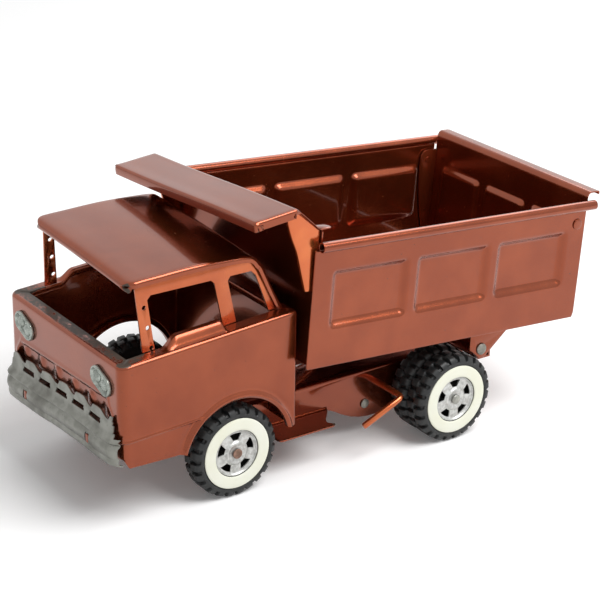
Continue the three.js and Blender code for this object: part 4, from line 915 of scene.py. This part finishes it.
def roof_shell():
    """The roof's profile from visor to ledge, carried across its width. Columns beyond the top run round a small
    radius and down the side flange, along the profile's own normal. The width follows the lean of the side frames,
    the front corners are rounded, and the height falls evenly from one side to the other."""
    corners = [
        (-63.9, 143.2), (-65.6, 144.4), (-66, 146.2), (-65.2, 148.2), (-62.8, 149.6), (-56, 150.2), (-46, 150.5),
        (-22, 151.2), (2, 150.5), (15, 149.4), (19.6, 147.2), (22, 144.2), (24.4, 141), (30.5, 126.5), (36.5, 114.2),
    ]
    line = smooth_line(corners, 7)
    ahead = np.gradient(line, axis=0)
    ahead /= np.linalg.norm(ahead, axis=1)[:, None]
    normal = np.stack([-ahead[:, 1], ahead[:, 0]], 1)
    half = ROOF_HALF + 5.4 * (150.5 - line[:, 1]) / 47.5
    rounding = np.clip(line[:, 0] + 66, 0, 7)
    half = half - (7 - np.sqrt(49 - (7 - rounding) ** 2))
    radius, drop = 1.9, 3.6
    bends = np.linspace(0, math.pi / 2, 7)
    flange = [(radius * (1 - math.sin(b)), radius * (1 - math.cos(b))) for b in bends]
    flange += [(0, radius + (drop - radius) * s) for s in (0.5, 1.0)]
    flat = np.linspace(-1, 1, 41)
    columns = []
    for inset, depth in flange[::-1]:
        columns.append((np.full(len(line), -1.0), inset, depth))
    for share in flat[1:-1]:
        columns.append((np.full(len(line), share), None, 0.0))
    for inset, depth in flange:
        columns.append((np.full(len(line), 1.0), inset, depth))
    grid = np.zeros((len(line), len(columns), 3))
    wear = np.zeros((len(line), len(columns)))
    for number, (share, inset, depth) in enumerate(columns):
        x = share * (half - (radius if inset is None else 0)) if inset is None else share * (half - inset)
        crown = 0.7 * (1 - (x / ROOF_HALF) ** 2) - 0.5
        grid[:, number, 0] = x
        grid[:, number, 1] = line[:, 0] - normal[:, 0] * depth
        grid[:, number, 2] = line[:, 1] - normal[:, 1] * depth + crown - 0.05 * x
        wear[:, number] = 0.28 if inset is not None and 0.2 < depth < 2.2 else 0.0
    visor = np.exp(-(((line[:, 0] + 65) / 1.6) ** 2)) * 0.42
    wear = wear + visor[:, None] + 0.1 * np.exp(-(((line[:, 0] + 60) / 4.5) ** 2))[:, None]
    return grid, wear, len(line), len(columns)


roof_enamel = copper_enamel("roof_enamel", Gloss=0.14)
grid, wear, rows, columns = roof_shell()
settle(
    surface("roof_pressing", grid, grid_quads(rows, columns), outward=(0, 0, 1), wear=wear),
    "chassis", roof_enamel, ("cab_roof",), thickness=0.9, sharp=50,
)

# ---- bumper and grille --------------------------------------------------------------------------------------
# One dull zinc-plated pressing: a bumper bar with two long ribs, and above it a grille strip with five slots and a
# toothed top edge. Two tabs of the cab's front pass through it and hold it. It hangs a little higher at the left.


def bumper_shell():
    """Height along the bar's section times distance across. Rows lie on the slots' and tab holes' edges, and so do
    columns, so that leaving cells out cuts the openings. The top row follows the teeth, and the ends taper back."""
    section = [
        (-80.8, 40.2), (-82.4, 39.9), (-83.6, 40.6), (-84.1, 42), (-84.2, 43.6), (-83.6, 44.5), (-83.8, 45.25),
        (-84.7, 46.4), (-85, 48.4), (-84.9, 50.2), (-84.3, 51.75), (-83.2, 52.5), (-82.8, 53.2), (-83.4, 53.9),
        (-84.2, 54.6), (-84.4, 55.4), (-83.9, 56.2), (-82.6, 57.0), (-81.8, 58.2), (-81.4, 59.6), (-81.1, 61),
        (-80.9, 62.6), (-80.7, 64.2), (-80.5, 65.4), (-80.4, 66.3), (-80.2, 68.0), (-80.0, 69.5),
    ]
    section = np.array(section)
    pitch = 2 * 60.5 / 6
    slots = [(i - 2) * pitch + pitch * 0.05 for i in range(5)]
    edges = {-67.0, 67.0, -66.2, 66.2, -64.5, 64.5, -60.5, 60.5}
    for middle in slots:
        edges |= {middle - 7, middle + 7, middle - 6.2, middle + 6.2}
    for i in range(6):
        left = -60.5 + i * pitch
        edges |= {left + pitch * share for share in (0, 0.2, 0.35, 0.42, 0.5, 0.62, 0.78, 0.86, 0.93)}
    for middle in (-38, 38):
        edges |= {middle - 2.25, middle + 2.25}
    x = np.array(sorted(edges))
    x = x[np.concatenate([[True], np.diff(x) > 0.15])]
    fill = [np.linspace(a, b, max(2, int((b - a) / 1.4) + 1), endpoint=False) for a, b in zip(x[:-1], x[1:])]
    x = np.concatenate([*fill, [67.0]])
    share = ((x + 60.5) / pitch) % 1.0
    dip = np.interp(share, [0, 0.06, 0.34, 0.6, 0.72, 0.8, 0.84, 1.0], [-0.2, 0.0, 0.0, -3.0, -3.4, -3.2, -0.6, -0.2])
    top = 69.5 + dip
    y = np.repeat(section[:, :1], len(x), 1)
    z = np.repeat(section[:, 1:], len(x), 1)
    above = np.clip((z - 64.2) / (69.5 - 64.2), 0, 1)
    z = np.where(z > 64.2, 64.2 + (top - 64.2) * above, z)
    end = np.clip((np.abs(x) - 59) / 8, 0, 1)
    y = y + 3.6 * end**2.4
    wave = 0.35 * np.sin(x * 0.07 + 1.0) + 0.16 * np.sin(x * 0.19 + 2.0)
    y = np.maximum(y + wave * 0.8 + 0.3, -85)
    z = z + 0.35 * np.sin(x * 0.06 + 0.5)
    leaned = z + 0.04 * x
    points = np.stack([np.repeat(x[None, :], len(section), 0), y, leaned], -1)
    middle_z = (section[1:, 1] + section[:-1, 1]) / 2
    middle_x = (x[1:] + x[:-1]) / 2
    kept = np.ones((len(section) - 1, len(x) - 1), bool)
    for centre in slots:
        wide = np.abs(middle_x - centre) < 7.0
        narrow = np.abs(middle_x - centre) < 6.3
        kept &= ~((np.abs(middle_z - 61.8) < 0.81)[:, None] & wide[None, :])
        kept &= ~((np.abs(middle_z - 63.4) < 0.81)[:, None] & narrow[None, :])
    strip_end = np.interp(middle_z, [57, 63, 69], [63.5, 61.5, 59.5])
    kept &= ~((middle_z > 57.2)[:, None] & (np.abs(middle_x)[None, :] > strip_end[:, None]))
    for centre in (-38, 38):
        kept &= ~((np.abs(middle_z - 48.5) < 3.3)[:, None] & (np.abs(middle_x - centre) < 2.25)[None, :])
    return points, grid_quads(len(section), len(x), kept=kept)


bumper_zinc = old_metal(
    "bumper_zinc", 0.7, 0.0003,
    Tone=(0.2, 0.2, 0.175, 1), Pale=(0.27, 0.27, 0.24, 1), Dark=(0.1, 0.095, 0.08, 1),
    Grain=160.0, Gloss=0.3, Stain=0.5,
)
points, faces = bumper_shell()
settle(
    surface("bumper_pressing", points, faces, outward=(0, -1, 0)),
    "chassis", bumper_zinc, ("grille_bumper",), thickness=0.8, sharp=50,
)


def block(x0, x1, y0, y1, z0, z1):
    """The eight corners and six faces of a straight block, for a finish with rounded edges."""
    corners = np.array([(x, y, z) for x in (x0, x1) for y in (y0, y1) for z in (z0, z1)], float)
    return corners, np.array([(0, 1, 3, 2), (4, 6, 7, 5), (0, 4, 5, 1), (2, 3, 7, 6), (0, 2, 6, 4), (1, 5, 7, 3)])


tabs = []
for middle in (-38, 38):
    corners, faces = block(middle - 1.7, middle + 1.7, -84.6, -75.9, 45.9, 51.1)
    corners[:, 2] += 0.04 * corners[:, 0]
    tabs.append((corners, faces))
points, faces = join_parts(tabs)
settle(
    surface("bumper_tabs", points, faces), "chassis",
    copper_enamel("tab_enamel", Gloss=0.4, Paint=(0.2, 0.06, 0.03, 1)), (), ease=0.5,
)

# ---- headlights ---------------------------------------------------------------------------------------------
# Each is one plated stamping riveted to the cab's face: an oval bezel with a rounded rim round two domed, fluted
# lenses, set aslant.


def headlight(side):
    """The oval is two half circles about centres that lie apart; a profile of (radius, height) is carried round it.
    Each lens is a turned dome with shallow radial flutes. All is turned by the lamp's slant and set on the face."""
    around = np.arange(72) * 2 * math.pi / 72
    centre = np.where(np.cos(around) >= 0, 4.8, -4.8)
    profile = [
        (6.2, 0.0), (6.2, 0.9), (6.0, 1.5), (5.6, 1.85), (5.1, 1.85),
        (4.75, 1.5), (4.5, 0.9), (4.2, 0.55), (2.0, 0.5), (0.0, 0.5),
    ]
    ring = []
    for radius, height in profile:
        shift = centre * (1.0 if radius > 0 else 0.98)
        ring.append(np.stack([shift + radius * np.cos(around), np.full(72, -height), radius * np.sin(around)], 1))
    back = [np.stack([centre + 3.0 * np.cos(around), np.full(72, 0.0), 3.0 * np.sin(around)], 1),
            np.stack([centre * 0.98, np.full(72, 0.0), 0 * around], 1)]
    ring = np.array(back[::-1] + ring)
    parts = [(ring, grid_quads(len(ring), 72, close_columns=True))]
    turn = np.arange(48) * 2 * math.pi / 48
    for middle in (-4.25, 4.25):
        dome = []
        for share in (1.0, 1.0, 0.93, 0.8, 0.62, 0.42, 0.2, 0.0):
            radius = 3.75 * share
            height = 0.5 + 1.5 * math.sqrt(max(0.0, 1 - share**2)) + 0.1 * np.cos(turn * 12) * share * (1 - share) * 3
            dome.append(np.stack([middle + radius * np.cos(turn), -(height + 0 * turn), radius * np.sin(turn)], 1))
        dome[0][:, 1] = -0.4
        base = np.stack([middle + 0 * turn, np.full(48, -0.4), 0 * turn], 1)
        parts.append((np.array([base, *dome]), grid_quads(9, 48, close_columns=True)))
    points, faces = join_parts(parts)
    slant = math.radians(-20)
    x = points[:, 0] * math.cos(slant) - points[:, 2] * math.sin(slant)
    z = points[:, 0] * math.sin(slant) + points[:, 2] * math.cos(slant)
    return np.stack([x + side * 46.3, points[:, 1] - 78.3, z + 88], 1), faces


lamp_silver = old_metal(
    "headlight_plating", 0.8, 0.0001,
    Tone=(0.27, 0.3, 0.27, 1), Pale=(0.42, 0.45, 0.41, 1), Dark=(0.12, 0.13, 0.11, 1),
    Grain=420.0, Gloss=0.2, Stain=0.45,
)
for label, side in (("left", 1), ("right", -1)):
    points, faces = headlight(side)
    settle(
        surface("twin_headlight_" + label, points, faces),
        "chassis", lamp_silver, ("headlight_" + label,), sharp=45,
    )

# ---- bed body -----------------------------------------------------------------------------------------------
# Two tall steel sides with three pressed panels each, their top edges rolled outwards into hollow rails, and a flat
# floor between them. The whole bed stands raised a few degrees about its pivots.
BED_HALF = 77.5


def inside_panel(u, v, u0, u1, v0, v1, corner):
    """Distance inside a rectangle with round corners, negative outside it."""
    du = np.abs(u - (u0 + u1) / 2) - (u1 - u0) / 2 + corner
    dv = np.abs(v - (v0 + v1) / 2) - (v1 - v0) / 2 + corner
    outside = np.hypot(np.maximum(du, 0), np.maximum(dv, 0))
    return corner - outside - np.minimum(np.maximum(du, dv), 0)


def pressed(distance, width, depth):
    """Depth of a pressing by the distance inside its outline: a straight slope with two small rounded ends."""
    share = np.clip(distance / width, 0, 1)
    eased = share + 0.09 * np.sin(2 * math.pi * share) * -1
    return depth * eased


def bed_side(side):
    """Lengthwise position times height. Three panels are pressed in by the distance inside their outlines; the rail
    is its own roll of sheet, most of a circle carried along the top edge."""
    length = np.linspace(0, 1, 211)[:, None]
    level = [np.linspace(66.6, 86, 10, endpoint=False), np.linspace(86, 131, 46), np.linspace(132, 140.6, 6)]
    level = np.concatenate(level)
    front = np.full(len(level), 39.4)
    rear = 249.6 + 1.2 * np.clip((level - 66.6) / 3, 0, 1)
    y = front + (rear - front) * length
    z = np.broadcast_to(level, y.shape)
    depth = np.zeros_like(y)
    edge = np.zeros_like(y)
    for number in range(3):
        start = 52.5 + number * 63.2
        distance = inside_panel(y, z, start, start + 58.5, 89.5, 127.5, 4.5)
        depth = np.maximum(depth, pressed(distance, 5.2, 3.0))
        edge = np.maximum(edge, 0.3 * np.exp(-((distance - 0.3) / 0.7) ** 2) * (np.abs(y - start - 55) < 6) * (z < 97))
    drawn = 0.25 * np.sin((y - 40) / 210 * math.pi) * np.sin((z - 66) / 75 * math.pi)
    x = BED_HALF - depth - drawn
    rim = 0.34 * (
        np.exp(-((y - 39.4) / 0.9) ** 2) + np.exp(-((z - 66.6) / 0.8) ** 2) + np.exp(-((y - rear) / 1.0) ** 2)
    )
    sheet = np.stack([x * side, y, z], -1)
    turn = np.radians(np.linspace(232, -112, 30))
    along = np.concatenate([[0, 0.002], np.linspace(0.01, 0.99, 60), [0.998, 1]])[:, None]
    roll_y = 42 + 213.5 * along + 0 * turn
    roll_x = (79.3 + 2.75 * np.cos(turn) + 0 * along) * side
    roll = np.stack([roll_x, roll_y, 142.8 + 2.75 * np.sin(turn) + 0 * along], -1)
    return sheet, rim + edge, roll


def bed_floor():
    """The floor sheet, very slightly dished, as lengthwise times crosswise positions."""
    y, x = np.meshgrid(np.linspace(45.2, 249, 40), np.linspace(-76.7, 76.7, 36), indexing="ij")
    dish = 0.5 * np.cos(x / 76.7 * math.pi / 2) * np.sin((y - 45) / 204 * math.pi)
    return np.stack([x, y, 67.5 - dish], -1)


bed_enamel = copper_enamel("bed_enamel", Gloss=0.2)
for label, side in (("left", 1), ("right", -1)):
    sheet, wear, roll = bed_side(side)
    settle(
        surface("bed_side_" + label, sheet, grid_quads(*sheet.shape[:2]), outward=(side, 0, 0), wear=wear, tilted=True),
        "bed", bed_enamel, (), thickness=1.0, ease=0.25, sharp=60,
    )
    rail_wear = np.full(roll.shape[:2], 0.05)
    settle(
        surface("bed_rail_" + label, roll, grid_quads(*roll.shape[:2]), wear=rail_wear, tilted=True),
        "bed", bed_enamel, (), thickness=0.8, side=0, ease=0.2, sharp=50,
    )
floor_grid = bed_floor()
settle(
    surface("bed_floor_sheet", floor_grid, grid_quads(*floor_grid.shape[:2]), outward=(0, 0, 1), tilted=True),
    "bed", bed_enamel, ("bed_body",), thickness=0.9,
)

# ---- bed front panel and canopy -----------------------------------------------------------------------------
# A plain front sheet closes the bed. Its canopy reaches forward over the cab: one sheet with a turned-down lip all
# round and a slope that runs back to the bed front, with a bright cheek plate under each end. It is racked: higher
# at the left than at the right.


def leaned(points, slope):
    """Height grows with the distance to the left."""
    points = np.array(points, float)
    points[..., 2] += slope * points[..., 0]
    return points


def front_panel():
    """A sheet across the bed, slightly bowed, whose top follows the rack of the canopy."""
    x, share = np.meshgrid(np.linspace(-75.9, 75.9, 60), np.linspace(0, 1, 40), indexing="ij")
    top = 146.3 + 0.065 * x
    z = 66.8 + (top - 66.8) * share
    bow = 0.5 * np.cos(x / 76 * math.pi / 2) * np.sin(share * math.pi)
    return np.stack([x, 43.9 + bow, z], -1)


def canopy_shell():
    """The canopy's profile from its lip over the flat top and ridge down the slope, carried across. End columns turn
    down round a small radius into a hem, which fades out past the ridge; there the sheet narrows to fit the bed."""
    corners = [
        (-3.7, 152.2), (-4.2, 154.4), (-4.4, 156.6), (-3.9, 157.9), (-2.6, 158.5), (4, 159.5), (12, 160.9), (20, 162.2),
        (23.2, 162.7), (24.8, 162.3), (26.4, 161.0), (32, 156.6), (38, 151.9), (42.2, 148.5), (44.6, 147.3),
    ]
    line = smooth_line(corners, 6)
    ahead = np.gradient(line, axis=0)
    ahead /= np.linalg.norm(ahead, axis=1)[:, None]
    normal = np.stack([-ahead[:, 1], ahead[:, 0]], 1)
    past = np.clip((line[:, 0] - 24) / 3.5, 0, 1)
    half = 78 - 0.9 * past - 1.7 * np.clip((line[:, 0] - 26) / 14, 0, 1)
    hem = 5.0 * (1 - past) + 0.4
    radius = np.minimum(1.6, hem * 0.5)
    columns = []
    bends = np.linspace(0, math.pi / 2, 6)
    for b in (1.0, 0.5):
        columns.append((-1, 0, radius + (hem - radius) * b))
    for b in bends[::-1]:
        columns.append((-1, radius * (1 - math.sin(b)), radius * (1 - math.cos(b))))
    for share in np.linspace(-1, 1, 61)[1:-1]:
        columns.append((share, None, 0 * radius))
    for b in bends:
        columns.append((1, radius * (1 - math.sin(b)), radius * (1 - math.cos(b))))
    for b in (0.5, 1.0):
        columns.append((1, 0, radius + (hem - radius) * b))
    grid = np.zeros((len(line), len(columns), 3))
    wear = np.zeros((len(line), len(columns)))
    for number, (share, inset, depth) in enumerate(columns):
        x = share * (half - 1.6) if inset is None else share * (half - inset)
        grid[:, number, 0] = x
        grid[:, number, 1] = line[:, 0] - normal[:, 0] * depth
        grid[:, number, 2] = line[:, 1] - normal[:, 1] * depth + 0.3 * np.sin(x * 0.04)
        wear[:, number] = 0.2 if inset is not None else 0.0
    front = 0.3 * np.exp(-(((line[:, 0] + 4) / 1.2) ** 2))
    ridge = 0.16 * np.exp(-(((line[:, 0] - 24) / 1.3) ** 2))
    wear = wear + (front + ridge)[:, None]
    return leaned(grid, 0.065), wear, len(line), len(columns)


def plate(outline, low, high):
    """A flat plate: an outline of (y, z) points carried along X between two positions."""
    outline = np.asarray(outline, float)
    count = len(outline)
    near = np.column_stack([np.full(count, low), outline])
    far = np.column_stack([np.full(count, high), outline])
    sides = [[i, (i + 1) % count, count + (i + 1) % count, count + i] for i in range(count)]
    return np.concatenate([near, far]), [list(range(count))[::-1], [count + i for i in range(count)]] + sides


canopy_enamel = copper_enamel("canopy_enamel", Gloss=0.17)
cheek_enamel = copper_enamel("cheek_enamel", Gloss=0.18, Paint=(0.5, 0.11, 0.03, 1), Bright=(0.6, 0.16, 0.045, 1))
panel_grid = front_panel()
settle(
    surface("bed_front_sheet", panel_grid, grid_quads(*panel_grid.shape[:2]), outward=(0, -1, 0), tilted=True),
    "bed", bed_enamel, ("bed_front_panel",), thickness=0.9,
)
grid, wear, rows, columns = canopy_shell()
settle(
    surface("canopy_pressing", grid, grid_quads(rows, columns), outward=(0, 0, 1), wear=wear, tilted=True),
    "bed", canopy_enamel, ("bed_canopy",), thickness=0.9, sharp=50,
)


def cheek(side):
    """Outline down from the canopy's ridge beside the bed's front edge, as a plate whose front edge is turned out."""
    front = smooth_line([(19.4, 160.2), (20.6, 153.6), (24.2, 144), (28.3, 135.2), (32.5, 122), (36.2, 110.4)], 8)
    back = np.interp(front[:, 1], [110, 147, 149, 161.8], [43.1, 43.1, 40.6, 25.0])
    share = np.linspace(0, 1, 9)[None, :]
    y = front[:, :1] + (back[:, None] - front[:, :1]) * share
    z = np.repeat(front[:, 1:], 9, 1)
    bulge = 0.9 * np.sin(share * math.pi) + 0 * y
    x = (75.0 + bulge * 0.5 - 0.3) * side + 0 * y
    rows_in = np.stack([x[:, 0] - side * 2.2, y[:, 0] - 0.2, z[:, 0]], -1)[:, None, :]
    return leaned(np.concatenate([rows_in, np.stack([x, y, z], -1)], 1), 0.065)


for label, side in (("left", 1), ("right", -1)):
    cheek_grid = cheek(side)
    wear = np.zeros(cheek_grid.shape[:2])
    wear[:, :2] = 0.12
    settle(
        surface(
            "canopy_side_cheek_" + label, cheek_grid, grid_quads(*cheek_grid.shape[:2]),
            outward=(side, 0, 0), wear=wear, tilted=True,
        ),
        "bed", cheek_enamel, ("canopy_cheek_" + label,), thickness=0.9, ease=0.2, sharp=50,
    )
    tab_y = [44.5, 51.0, 52.2, 52.8, 52.2, 51.0, 44.5]
    tab_x = [66.0, 66.0, 66.8, 70.0, 73.2, 74.0, 74.0]
    low = np.column_stack([tab_x, tab_y, np.full(7, 146.7)])
    high = low + [0, 0, 1.0]
    low[:, 0] *= side
    high[:, 0] *= side
    faces = [list(range(7)), [7 + i for i in range(7)][::-1]]
    faces += [[i, (i + 1) % 7, 7 + (i + 1) % 7, 7 + i] for i in range(7)]
    settle(
        surface("canopy_foot_tab_" + label, leaned(np.concatenate([low, high]), 0.065), faces, tilted=True),
        "bed", canopy_enamel, (), ease=0.25,
    )

# ---- pivot ears ---------------------------------------------------------------------------------------------
# Flat ears bent down from the bed floor, curved to clear the rear tyres, that the pivot rivets pass through.
ear_enamel = copper_enamel("ear_enamel", Gloss=0.25)
for label in ("left", "right"):
    eased_copy("bed_ear_" + label, "pivot_ear_" + label, "bed", ear_enamel, 0.3)

# ---- tailgate -----------------------------------------------------------------------------------------------
# A steel gate hung inside the bed sides on two rivets: three panels pressed towards the load, a flange turned out
# along the top, and an ear turned forward at each end.


def gate_shell():
    """Distance across times distance up the gate. The face leans back slightly, then turns over a small radius into
    the top flange. Three panels push into the bed by the distance inside their outlines."""
    half, low = 75.6, 68.8
    x = np.linspace(-half, half, 152)[:, None]
    heights = [np.linspace(low, 80, 7, endpoint=False), np.linspace(80, 132, 50, endpoint=False)]
    heights = np.concatenate(heights + [np.linspace(132, 147.3, 12)])
    lean_back = 248.9 + 3.0 * (heights - low) / (149.5 - low)
    bends = np.linspace(0, math.pi / 2, 6)[1:]
    line = [(y, z) for y, z in zip(lean_back, heights)]
    line += [(252 + 2.2 * (1 - math.cos(b)), 147.3 + 2.2 * math.sin(b)) for b in bends]
    line += [(254.2 + step, 149.5) for step in (1.5, 3.5, 5.0, 6.0, 6.4)]
    line += [(260.9, 149.2), (261.0, 148.0)]
    line = np.array(line)
    y = np.repeat(line[None, :, 0], len(x), 0)
    z = np.repeat(line[None, :, 1], len(x), 0)
    width = (2 * (half - 9) - 10) / 3
    depth = np.zeros_like(y)
    for number in range(3):
        start = -half + 9 + number * (width + 5)
        depth = np.maximum(depth, pressed(inside_panel(x + 0 * y, z, start, start + width, 84, 128, 4.5), 3.8, 2.3))
    edge = np.zeros_like(y)
    edge[:, -4:] = 0.32
    edge = edge + 0.25 * np.exp(-((z - 149.5) / 0.5) ** 2) * (y < 253)
    return np.stack([x + 0 * y, y + 1.0 - depth, z], -1), edge


gate_grid, gate_wear = gate_shell()
gate_grid[..., 1] = np.minimum(gate_grid[..., 1], 261.2)
settle(
    surface(
        "gate_pressing", gate_grid, grid_quads(*gate_grid.shape[:2]), outward=(0, 1, 0), wear=gate_wear, tilted=True,
    ),
    "tailgate", bed_enamel, ("tailgate",), thickness=0.9, ease=0.0, sharp=50,
)
for label, side in (("left", 1), ("right", -1)):
    outline = np.concatenate(
        [
            smooth_line([(250.0, 70.8), (246.0, 76), (242.6, 88), (239.6, 104), (237.8, 122), (237.9, 131.5)], 5),
            smooth_line([(238.4, 134), (240.6, 136.8), (244.0, 137.6)], 4),
            [(251.4, 137.6), (251.2, 100), (250.6, 71.2)],
        ]
    )
    points, faces = plate(outline, 74.5 * side, 75.55 * side)
    settle(
        surface("gate_ear_" + label, points, faces, tilted=True),
        "tailgate", ear_enamel, (), ease=0.25,
    )

# ---- studio -------------------------------------------------------------------------------------------------
# A plain white table with soft light: an even sky, a large lamp high on the left, and a weaker one behind.
white_table = bpy.data.materials.new("white_table")
white_table.use_nodes = True
tree = white_table.node_tree
tree.nodes.clear()
output = tree.nodes.new("ShaderNodeOutputMaterial")
paper = tree.nodes.new("ShaderNodeBsdfDiffuse")
rays = tree.nodes.new("ShaderNodeLightPath")
seen = tree.nodes.new("ShaderNodeMix")
seen.data_type = "RGBA"
seen.inputs[6].default_value = (0.8, 0.8, 0.8, 1)
seen.inputs[7].default_value = (1.0, 1.0, 1.0, 1)
shown = maths(tree, "MAXIMUM", rays.outputs["Is Camera Ray"], rays.outputs["Is Glossy Ray"])
shown = maths(tree, "MAXIMUM", shown, rays.outputs["Is Transmission Ray"])
tree.links.new(shown, seen.inputs["Factor"])
tree.links.new(seen.outputs[2], paper.inputs["Color"])
glow = tree.nodes.new("ShaderNodeEmission")
tree.links.new(maths(tree, "MULTIPLY", shown, 0.08), glow.inputs["Strength"])
both = tree.nodes.new("ShaderNodeAddShader")
tree.links.new(paper.outputs[0], both.inputs[0])
tree.links.new(glow.outputs[0], both.inputs[1])
tree.links.new(both.outputs[0], output.inputs["Surface"])
table_mesh = bpy.data.meshes.new("white_table")
table_mesh.from_pydata([(-9, -9, 0), (9, -9, 0), (9, 9, 0), (-9, 9, 0)], [], [(0, 1, 2, 3)])
table_top = bpy.data.objects.new("white_table", table_mesh)
table_top.data.materials.append(white_table)
bpy.context.scene.collection.objects.link(table_top)

sky = bpy.data.worlds.new("studio_sky")
sky.use_nodes = True
bpy.context.scene.world = sky
tree = sky.node_tree
rays = tree.nodes.new("ShaderNodeLightPath")
tree.nodes["Background"].inputs["Color"].default_value = (1, 1, 1, 1)
shown = maths(tree, "MAXIMUM", rays.outputs["Is Camera Ray"], rays.outputs["Is Glossy Ray"])
shown = maths(tree, "MAXIMUM", shown, rays.outputs["Is Transmission Ray"])
tree.links.new(
    maths(tree, "ADD", maths(tree, "MULTIPLY", shown, 0.6), 0.4), tree.nodes["Background"].inputs["Strength"]
)


def soft_lamp(name, place, target, size, power):
    """A square soft light aimed at a point."""
    lamp = bpy.data.lights.new(name, "AREA")
    lamp.shape = "SQUARE"
    lamp.size = size
    lamp.energy = power
    holder = bpy.data.objects.new(name, lamp)
    holder.location = place
    holder.rotation_euler = (Vector(target) - Vector(place)).to_track_quat("-Z", "Y").to_euler()
    bpy.context.scene.collection.objects.link(holder)


soft_lamp("high_left_lamp", (0.9, 0.45, 1.6), (0, 0, 0.05), 1.2, 33)
soft_lamp("rear_lamp", (-0.9, 1.5, 1.5), (0, 0, 0.05), 1.2, 12)

lens = bpy.data.cameras.new("view")
lens.lens = 114.657
lens.sensor_width = 36
lens.clip_start, lens.clip_end = 0.05, 30
camera = bpy.data.objects.new("view", lens)
camera.location = (0.903728, -0.641744, 0.546845)
camera.rotation_euler = [math.radians(turn) for turn in (67.25829, -0.92788, 55.07747)]
bpy.context.scene.collection.objects.link(camera)
bpy.context.scene.camera = camera
bpy.context.scene.view_settings.view_transform = "Standard"
